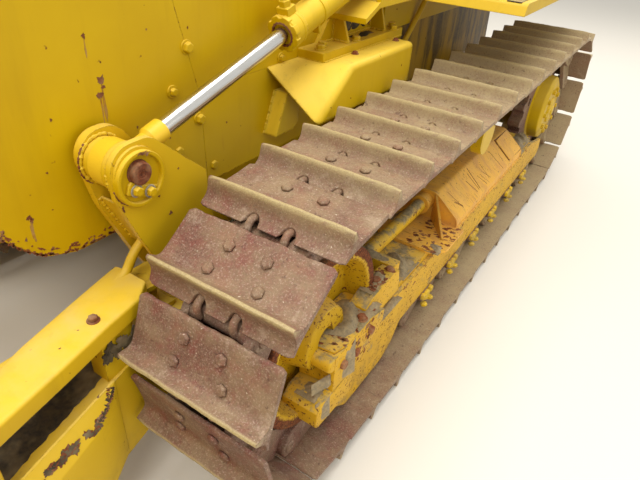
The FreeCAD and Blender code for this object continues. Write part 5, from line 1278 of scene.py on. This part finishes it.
# %% Thick rust on the flanges, and the patch plate on the recoil cover
dice = random.Random(21)
thick_rust = Shape()
for k in range(70):
    x, y = dice.uniform(900, 1040), dice.uniform(-116, 96)
    if x + (y + 120) * 0.0 > 1038 or (y < -90 and x > 1010):
        continue
    patch(thick_rust, (dice.uniform(3, 12), dice.uniform(3, 9)), at((x, y, 412.8), (1, dice.random(), 0)), 0.9, k, 0.8)
for k in range(60):
    y = dice.uniform(-510, 1280)
    patch(thick_rust, (dice.uniform(3, 13), dice.uniform(2, 6)), at((997, y, 366 - dice.random() ** 2 * 40), (0, 1, 0), (1, 0, 0)), 0.7, k + 200, 0.8)
for k in range(44):
    patch(thick_rust, (dice.uniform(3, 9), dice.uniform(3, 7)), at((dice.uniform(950, 1024), dice.uniform(-800, -560), 469), (1, dice.random(), 0)),
          0.9, k + 300, 0.8)
for k in range(40):
    patch(thick_rust, (dice.uniform(3, 9), dice.uniform(3, 7)), at((1028.6 if k % 2 else 1026.6, dice.uniform(-735, -610), dice.uniform(350, 462)),
                                                                 (0, 1, 0), (1, 0, 0)), 1.1, k + 400, 0.8)
for k in range(26):
    patch(thick_rust, (dice.uniform(3, 9), dice.uniform(3, 6)), at((dice.uniform(950, 994), dice.uniform(-570, -400), 502.5), (1, dice.random(), 0)),
          3.5, k + 500, 0.8)
piece("thick_rust", thick_rust.mirror(), red_rust, "machine")
patches = Shape()
facet = at((958.5, 878, 485), (0, 1, 0), (0.641, 0, 0.768))
plate(patches, [(-88, -52), (-82, -58), (82, -60), (88, -52), (86, 50), (80, 58), (-84, 56), (-88, 48)], -1, 5.5, facet, 1.2)
for path in (((1010.5, 99, 402), (1010.5, 99, 442), (907, 99, 528), (823, 99, 528)), ((1010.5, 976, 402), (1010.5, 976, 442), (907, 976, 528), (823, 976, 528))):
    bar(patches, bent(path, 22), 3.2, 8)
bar(patches, line_path((1011, 104, 401), (1011, 970, 401), 6), 4.5, 8, 0.35)
piece("recoil_cover_patches", patches.mirror(), cover_yellow, "machine")
grooves = Shape()
for x0, y0, x1, y1 in ((-91, -55, 91, -61), (91, -61, 91, 55), (91, 55, -91, 59), (-91, 59, -91, -55)):
    bar(grooves, [facet @ Vector((x0, y0, 1)), facet @ Vector((x1, y1, 1))], 2.6, 8, 0.0)
for k in range(15):
    dice = random.Random(k + 60)
    y = dice.uniform(140, 940)
    start = Vector((1006 - dice.uniform(0, 20), y, 446 + 16))
    end = Vector((916 + dice.uniform(0, 50), y + dice.uniform(-60, 10), 521))
    end.z = 528 - (end.x - 907) * 86 / 103
    start.z = 528 - (start.x - 907) * 86 / 103
    bar(grooves, [start, start.lerp(end, 0.5), end], dice.uniform(0.7, 1.5), 6)
piece("recoil_cover_gouges", grooves.mirror(), dark_rust, "machine")

# %% [markdown]
# ## The sides that the photograph leaves out
# The cab, the hood, the rear and the blade's far side are finished as on other machines
# of this type: a padded vinyl seat, gauges and levers, lamps with glass, a heat-rusted
# stack, tread on the floor, and the bolts and beads that hold it together.

# %% Finishes for seat, stack, core, deck and lamps
vinyl = plain_finish("dusty_black_vinyl", "1b1a19", "232221", 3, 0.5, 0.2)
heat_rust = plain_finish("heat_rusted_steel", "4a2a1c", "6f3f26", 14, 0.85, 0.6)
core_fins = plain_finish("dusty_radiator_fins", "3a3733", "59534a", 4, 0.8, 0.5)
engine_paint = plain_finish("oily_engine_paint", "4d4a42", "6a6353", 25, 0.6, 0.8)
deck_paint = painted("walked_on_deck_enamel", "3a3734", "4a4540", chips=0.9, dust=0.9, chalk_and_sky_light=0.2, gloss=0.6)
dial_face = plain_finish("printed_dial_face", "14130f", "1d1b17", 2, 0.5, 0.05)
knob_red = plain_finish("worn_red_knob", "8f1d16", "a02a1e", 4, 0.45, 0.1)
lens_glass = bpy.data.materials.new("fluted_lamp_glass")
lens_glass.use_nodes = True
tree = lens_glass.node_tree
shader = tree.nodes["Principled BSDF"]
place = add(tree, "ShaderNodeTexCoord").outputs["Object"]
shader.inputs["Roughness"].default_value = 0.08
film = noise(tree, place, 30, 4, 0.6)
tree.links.new(over(tree, between(tree, film, 0.35, 0.75, 0, 0.7), colour("dcdcd4"), colour("a89c80")), shader.inputs["Base Color"])
flutes = add(tree, "ShaderNodeTexWave", {"Vector": place, "Scale": 42.0}, bands_direction="X")
tree.links.new(add(tree, "ShaderNodeBump", {"Height": flutes.outputs["Fac"], "Distance": 0.001, "Strength": 0.5}).outputs[0],
               shader.inputs["Normal"])
finish_with(heat_rust, "exhaust_stack")
finish_with(core_fins, "radiator_core")
finish_with(engine_paint, "engine_block")
finish_with(deck_paint, "floor_deck")
print("finishes for the other sides", len(bpy.data.materials))


# %% A crowned pad with a piped seam and sewn channels
def pad(shape, width, depth, high, crown, place, channels=(), steps=72, rings=14):
    """Its sides pull in between its corners and its top is crowned; channels are sewn lines across x."""
    def rim(angle, pull):
        c, s = math.cos(angle), math.sin(angle)
        reach = (abs(c) ** 5 + abs(s) ** 5) ** -0.2
        slack = 1 - pull * (1 - abs(math.sin(2 * angle)) ** 0.8)
        return c * reach * width / 2 * slack, s * reach * depth / 2 * slack

    def top(share, x):
        sewn = sum(math.exp(-((x - at_x) / 7.0) ** 2) for at_x in channels)
        return high + crown * (1 - share ** 3.2) - 7.0 * sewn * (1 - share ** 8)

    points, faces = [(0, 0, 0)], []
    levels = [(0.55, 0, 0), (0.93, 0, 0), (0.985, 6, 0.012), (1.0, high * 0.45, 0.02), (0.99, high * 0.78, 0.016), (0.965, high * 0.93, 0.01)]
    for share, z, pull in levels:
        points += [(share * x, share * y, z) for x, y in (rim(2 * math.pi * i / steps, pull) for i in range(steps))]
    for k in range(rings, 0, -1):
        share = 0.94 * k / rings
        ring = [rim(2 * math.pi * i / steps, 0.01 * share) for i in range(steps)]
        points += [(share * x, share * y, top(share, share * x)) for x, y in ring]
    points.append((0, 0, top(0, 0)))
    count = len(levels) + rings
    faces += [(0, 1 + (i + 1) % steps, 1 + i) for i in range(steps)]
    for r in range(count - 1):
        a, b = 1 + r * steps, 1 + (r + 1) * steps
        faces += [(a + i, a + (i + 1) % steps, b + (i + 1) % steps, b + i) for i in range(steps)]
    last = 1 + (count - 1) * steps
    faces += [(last + i, last + (i + 1) % steps, len(points) - 1) for i in range(steps)]
    shape.take(points, faces, place)
    for z, share in ((high * 0.90, 0.983), (8, 0.99)):
        path = [Vector((share * x, share * y, z)) for x, y in (rim(2 * math.pi * i / steps, 0.012) for i in range(steps + 1))]
        bar(shape, path, 3.6, 8, 0, place)
    return shape


def band(shape, inner, outer, low, high, place, steps=48):
    return collar(shape, inner, lambda angle: outer, low, high, place, steps)


# %% Seat, arm pads and base
seat_base, seat_parts = Shape(), []
plate(seat_base, [(-200, 520), (200, 520), (200, 820), (-200, 820)], 1040.2, 1196, None, 4)
plate(seat_base, [(-170, 540), (170, 540), (170, 800), (-170, 800)], 1190, 1228, None, 3)
for x in (-150, 150):
    plate(seat_base, [(x - 16, 500), (x + 16, 500), (x + 16, 850), (x - 16, 850)], 1226, 1241, None, 2)
    bar(seat_base, bent([(x, 800, 1246), (x, 880, 1246), (x, 906, 1290), (x, 930, 1400)], 30), 12, 12)
plate(seat_base, [(-235, 450), (235, 450), (235, 850), (-235, 850)], 1238, 1252, None, 4)
plate(seat_base, [(-210, 0), (210, 0), (210, 500), (-210, 500)], -4, 8, at((0, 944, 1275), (1, 0, 0), (0, 0.993, -0.12)), 3)
bar(seat_base, bent([(-120, 470, 1232), (-120, 440, 1232), (60, 440, 1232), (60, 470, 1232)], 20), 7, 10)
base = piece("seat_base_and_slides", seat_base, black_enamel, "machine")
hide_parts("seat")
for name, build in (("seat_cushion", (500, 400, 84, 26, at((0, 650, 1252), (1, 0, 0), (0, -0.07, 1)), (-120, 0, 120))),
                    ("seat_back_cushion", (462, 512, 60, 22, at((0, 936, 1535), (1, 0, 0), (0, -0.993, 0.12)), (-110, 0, 110)))):
    cushion = piece(name, pad(Shape(), *build), vinyl, "machine", 60)
    smooth = cushion.modifiers.new("rounder", "SUBSURF")
    smooth.levels = smooth.render_levels = 1
for side, label in ((1, "left"), (-1, "right")):
    arm = piece("arm_pad_" + label, pad(Shape(), 120, 420, 34, 10, at((side * 545, 790, 1330), (1, 0, 0))), vinyl, "machine", 60)

# %% Gauges, levers and pedals
dials, faces_of_dials, levers, knobs = Shape(), Shape(), Shape(), Shape()
slope = (0, 0.954, 0.298)
for k, x in enumerate((-300, -180, -60, 60, 180, 300)):
    spot = at((x, 117, 1474), (1, 0, 0), slope)
    lathe(dials, [(-6, 0), (-6, 44), (8, 44), (11, 41), (11, 36), (5, 35), (5, 0)], 32, spot)
    lathe(faces_of_dials, disc_profile(34, 4, 7, 0.6), 32, spot)
    hand = at(spot @ Vector((0, 0, 7)), (math.cos(k * 1.3 + 0.5), 0.3 * math.sin(k * 1.3), 0.2), slope)
    plate(knobs, [(-4, -1.4), (26, -0.5), (26, 0.5), (-4, 1.4)], -0.5, 1.2, hand)
for x, y, lean, long in ((-360, 250, -0.18, 330), (-430, 560, -0.12, 260), (330, 240, 0.1, 300), (395, 240, 0.16, 300)):
    foot = (x, y, 1040 if abs(x) < 400 else 1330)
    tip = (x * 0.97, y + lean * 120, foot[2] + long)
    lathe(levers, [(0, 0), (0, 42), (10, 40), (34, 14), (34, 0)], 20, at(foot))
    bar(levers, bent([foot, (x, y, foot[2] + long * 0.5), tip], 60), 8, 12)
    lathe(knobs, [(-8, 0), (-8, 12), (10, 25), (34, 26), (52, 14), (56, 0)], 20, at(tip))
for x in (-150, 0, 150):
    plate(levers, [(-45, -35), (45, -35), (45, 35), (-45, 35)], -4, 5, at((x, 190, 1150), (1, 0, 0), (0, 0.7, 0.7)), 2)
    for k in range(-3, 4):
        plate(levers, [(-40, k * 9 - 2), (40, k * 9 - 2), (40, k * 9 + 2), (-40, k * 9 + 2)], 4, 8, at((x, 190, 1150), (1, 0, 0), (0, 0.7, 0.7)))
    bar(levers, [(x, 186, 1148), (x, 150, 1040)], 9, 12)
bar(levers, bent([(-230, 150, 1505), (-230, 190, 1560), (230, 190, 1560), (230, 150, 1505)], 40), 12, 14)
piece("gauge_bezels", dials, black_enamel, "machine")
piece("gauge_faces", faces_of_dials, dial_face, "machine")
piece("levers_and_pedals", levers, black_enamel, "machine")
piece("knobs_and_pointers", knobs, knob_red, "machine")

# %% Raised tread on the floor, and strips on the fenders
lozenge = plate(Shape(), [(-15, 0), (0, -4.5), (15, 0), (0, 4.5)], -1, 2.6, None, 1.0)
spots = [at((x, y, 1040.3), (1, 1 if (i + j) % 2 else -1, 0)) for i, x in enumerate(range(-420, 421, 38))
         for j, y in enumerate(range(165, 870, 38)) if not (abs(x) < 225 and 500 < y < 840)]
set_down("floor_tread", lozenge, spots, deck_paint, "machine", seed=3, sway_degrees=2)
strips = Shape()
for x in (700, 790, 880, 960):
    for y0, y1 in ((350, 480), (1180, 1500)):
        plate(strips, [(x - 26, y0), (x + 26, y0), (x + 26, y1), (x - 26, y1)], 1188, 1192.4, None, 0.8)
piece("anti_slip_strips", strips.mirror(), deck_paint, "machine")
swages = Shape()
for x in range(-480, 481, 240):
    plate(swages, [(x - 26, 330), (x + 26, 330), (x + 26, 1560), (x - 26, 1560)], 2756, 2765, None, 4)
for z, y in ((1330, 1986), (1480, 1976)):
    plate(swages, [(-400, z - 9), (400, z - 9), (400, z + 9), (-400, z + 9)], -6, 8, at((0, y - 4, 0), (-1, 0, 0), (0, 1, 0)), 4)
piece("roof_and_tank_swages", swages, hull_yellow, "machine")

# %% Lamps: rim, glass and guard bars
rims, glasses = Shape(), Shape()
for x in (-440, 440):
    for y, out in ((242, -1), (1628, 1)):
        face = at((x, y, 2632), (1, 0, 0), (0, out, 0))
        for x0, x1, y0, y1 in ((-60, 60, 44, 52), (-60, 60, -52, -44), (-60, -52, -44, 44), (52, 60, -44, 44)):
            plate(rims, [(x0, y0), (x1, y0), (x1, y1), (x0, y1)], -8, 9, face, 1.5)
        plate(glasses, [(-53, -45), (53, -45), (53, 45), (-53, 45)], -2, 5.5, face, 1.8)
        for h in (-16, 16):
            bar(rims, bent([(-57, h, 2), (-57, h, 17), (57, h, 17), (57, h, 2)], 8), 2.6, 8, 0, face)
piece("lamp_rims_and_guards", rims, black_enamel, "machine")
piece("lamp_lenses", glasses, lens_glass, "machine")
finish_with(black_enamel, "lamps")

# %% Rain cap, clamps, cleaner bands and tank cap
stacks, bands, caps = Shape(), Shape(), Shape()
flap = at((-190, -478, 2404), (1, 0, 0), (0, -0.42, 0.91))
lathe(stacks, disc_profile(46, 0, 5, 1.5), 32, flap)
bar(stacks, [(-222, -476, 2398), (-158, -476, 2398)], 6, 10)
band(stacks, 40, 47, 2352, 2392, at((-190, -520, 0)), 40)
for z in (1742, 2052):
    band(stacks, 87, 92, z - 8, z + 8, at((-190, -520, 0)), 48)
    bolt(stacks, at((-190, -520 - 95, z), (0, 0, 1), (0, -1, 0)), 13, 9)
for z in (1655, 1770):
    for k in range(4):
        bolt(stacks, at((-190 + 40 * math.cos(k * 1.57), -520 + 40 * math.sin(k * 1.57), 1709 if z == 1655 else 1709)), 11, 6)
for z in (1822, 1918):
    band(bands, 104, 108.5, z - 9, z + 9, at((190, -420, 0)), 56)
for k in range(3):
    turn = 0.6 + k * 2.09
    bar(bands, bent([(190 + r * math.cos(turn), -420 + r * math.sin(turn), z) for r, z in ((109, 1905), (118, 1890), (118, 1850), (109, 1836))], 8), 3, 8)
band(bands, 45, 50, 1690, 1716, at((190, -420, 0)), 40)
piece("stack_cap_and_clamps", stacks, heat_rust, "machine")
piece("cleaner_bands_and_clips", bands, zinc, "machine")
tank_top = at((-250, 1700, 1641), (1, 0, 0), (0, 0.063, 1))
lathe(caps, [(-20, 0), (-20, 48), (12, 48), (14, 46), (14, 40), (16, 56), (34, 56), (38, 52), (38, 0)], 36, tank_top)
bar(caps, bent([(-290, 1700, 1676), (-290, 1700, 1700), (-210, 1700, 1700), (-210, 1700, 1676)], 14), 5, 10)
for x in (-330, 330):
    bar(caps, bent([(x, 1250, 1618), (x, 1250, 1690), (x, 1500, 1690), (x, 1500, 1642)], 26), 12, 12)
lathe(caps, disc_profile(22, -4, 14, 3), 24, at((250, 1640, 1643), (1, 0, 0), (0, 0.06, 1)))
piece("tank_cap_and_rails", caps, black_enamel, "machine")

# %% Bolts and beads on cab, hood and guard
small_bolt = bolt(Shape(), None, 19, 11, 17, 1.8)
spots = [at((side * (560 + dx), y + dy, 1210)) for side in (1, -1) for y in (370, 1500) for dx in (-68, 68) for dy in (-60, 60)]
spots += [at((side * x, y, 2760)) for side in (1, -1) for x in (640,) for y in range(300, 1620, 160)]
spots += [at((side * 447.6, y, z), (0, 0, 1), (side, 0, 0)) for side in (1, -1) for y in (-760, -560, -300, -100) for z in (1020, 1400)
          if y > -700 or z == 1020]
spots += [at((side * x, y, 1640)) for side in (1, -1) for x in (310,) for y in range(-970, -80, 145)]
spots += [at((side * 434, -1310, z), (1, 0, 0), (0, -1, 0)) for side in (1, -1) for z in range(930, 1560, 120)]
spots += [at((x, 1150 + 0.0, 1200), (1, 0, 0), (0, -1, 0)) for x in (-420, -300, 300, 420)]
set_down("cab_and_hood_bolts", small_bolt, spots, hull_yellow, "machine", seed=9)
beads, latches = Shape(), Shape()
for side in (1, -1):
    for y in (370, 1500):
        corners = [(side * 560 + a * 52, y + b * 52, 1211) for a, b in ((-1, -1), (1, -1), (1, 1), (-1, 1), (-1, -1))]
        for start, end in zip(corners[:-1], corners[1:]):
            bar(beads, line_path(start, end, 6), 5, 8, 0.22)
    for z in (1040, 1230, 1480):
        lathe(latches, disc_profile(9, -26, 26, 2), 16, at((side * 428, -1291, z)))
    for z in (1090, 1240, 1430):
        lathe(latches, disc_profile(24, -3, 5, 1.5), 24, at((side * 40, -1286, z), (1, 0, 0), (0, -1, 0)))
        plate(latches, [(-5, -20), (5, -20), (5, 20), (-5, 20)], 3, 14, at((side * 40, -1286, z), (1, 0, 0), (0, -1, 0)), 2)
    for y in (-600, -180):
        plate(latches, [(-34, -12), (34, -12), (34, 12), (-34, 12)], -1, 6, at((side * 447, y, 1350), (0, 1, 0), (side, 0, 0)), 2)
        bar(latches, bent([(side * 450, y - 22, 1350), (side * 468, y - 22, 1350), (side * 468, y + 22, 1350), (side * 450, y + 22, 1350)], 8), 4.5, 10)
    bar(latches, bent([(side * 447, -1060, 1440), (side * 492, -1060, 1440), (side * 492, -760, 1440), (side * 447, -760, 1440)], 24), 11, 14)
    bar(latches, bent([(side * 612, 372, 1500), (side * 660, 372, 1500), (side * 660, 372, 2000), (side * 612, 372, 2000)], 26), 13, 14)
piece("canopy_weld_beads", beads, hull_yellow, "machine")
piece("latches_and_handles", latches, black_enamel, "machine")

# %% Radiator fins and louvre vanes
fin = plate(Shape(), [(-0.8, -5), (0.8, -5), (0.8, 5), (-0.8, 5)], 900, 1560)
set_down("radiator_fins", fin, [at((x, -1264, 0)) for x in range(-384, 385, 8)], core_fins, "machine", seed=4)
vane = plate(Shape(), [(-11, 0), (11, 0), (11, 2.5), (-11, 2.5)], 1272, 1388, None, 0.5)
spots = [at((side * 441, y, 0), (side * 0.8, 0.6, 0)) for side in (1, -1) for y in range(-470, -133, 42)]
set_down("louvre_vanes", vane, spots, hull_yellow, "machine", seed=5)

# %% Blade: plough bolts, nuts, beads along the ribs, and the cover bolts
plough = lathe(Shape(), [(-3, 0), (-3, 17), (0.6, 17), (1.8, 14), (1.8, 0)], 24)
spots = [at((x, -2200, z), (1, 0, 0), (0, -1, 0)) for x in range(-1160, 1161, 145) for z in (104,)]
spots += [at((side * x, -2199, z), (1, 0, 0), (0, -1, 0)) for side in (1, -1) for x in (1270, 1400) for z in (70,)]
set_down("plough_bolts", plough, spots, edge_steel, "blade", seed=6)
seams = Shape()
for x in (560, 1000):
    for edge in (-9, 9):
        for s in (1, -1):
            run = [(s * x + edge, y + 17, z) for y, z in ((-2080, 400), (-2052, 560), (-2075, 760), (-2115, 900))]
            bar(seams, [p for a, b in zip(run[:-1], run[1:]) for p in line_path(a, b, 8)[:-1]] + [Vector(run[-1])], 5, 8, 0.22)
piece("blade_weld_beads", seams, blade_yellow, "blade")
cover_bolt = bolt(Shape(), None, 19, 11, 15, 2)
spots = [at((side * x, y, 649), (1, 0.3, 0)) for side in (1, -1) for x, y in ((617, -1199), (690, -1572))]
set_down("cover_screws", cover_bolt, spots, dark_rust, "push_frame", seed=7)

# %% The visual size of the whole
low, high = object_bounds()
print("visual size", [round(v, 3) for v in high - low])
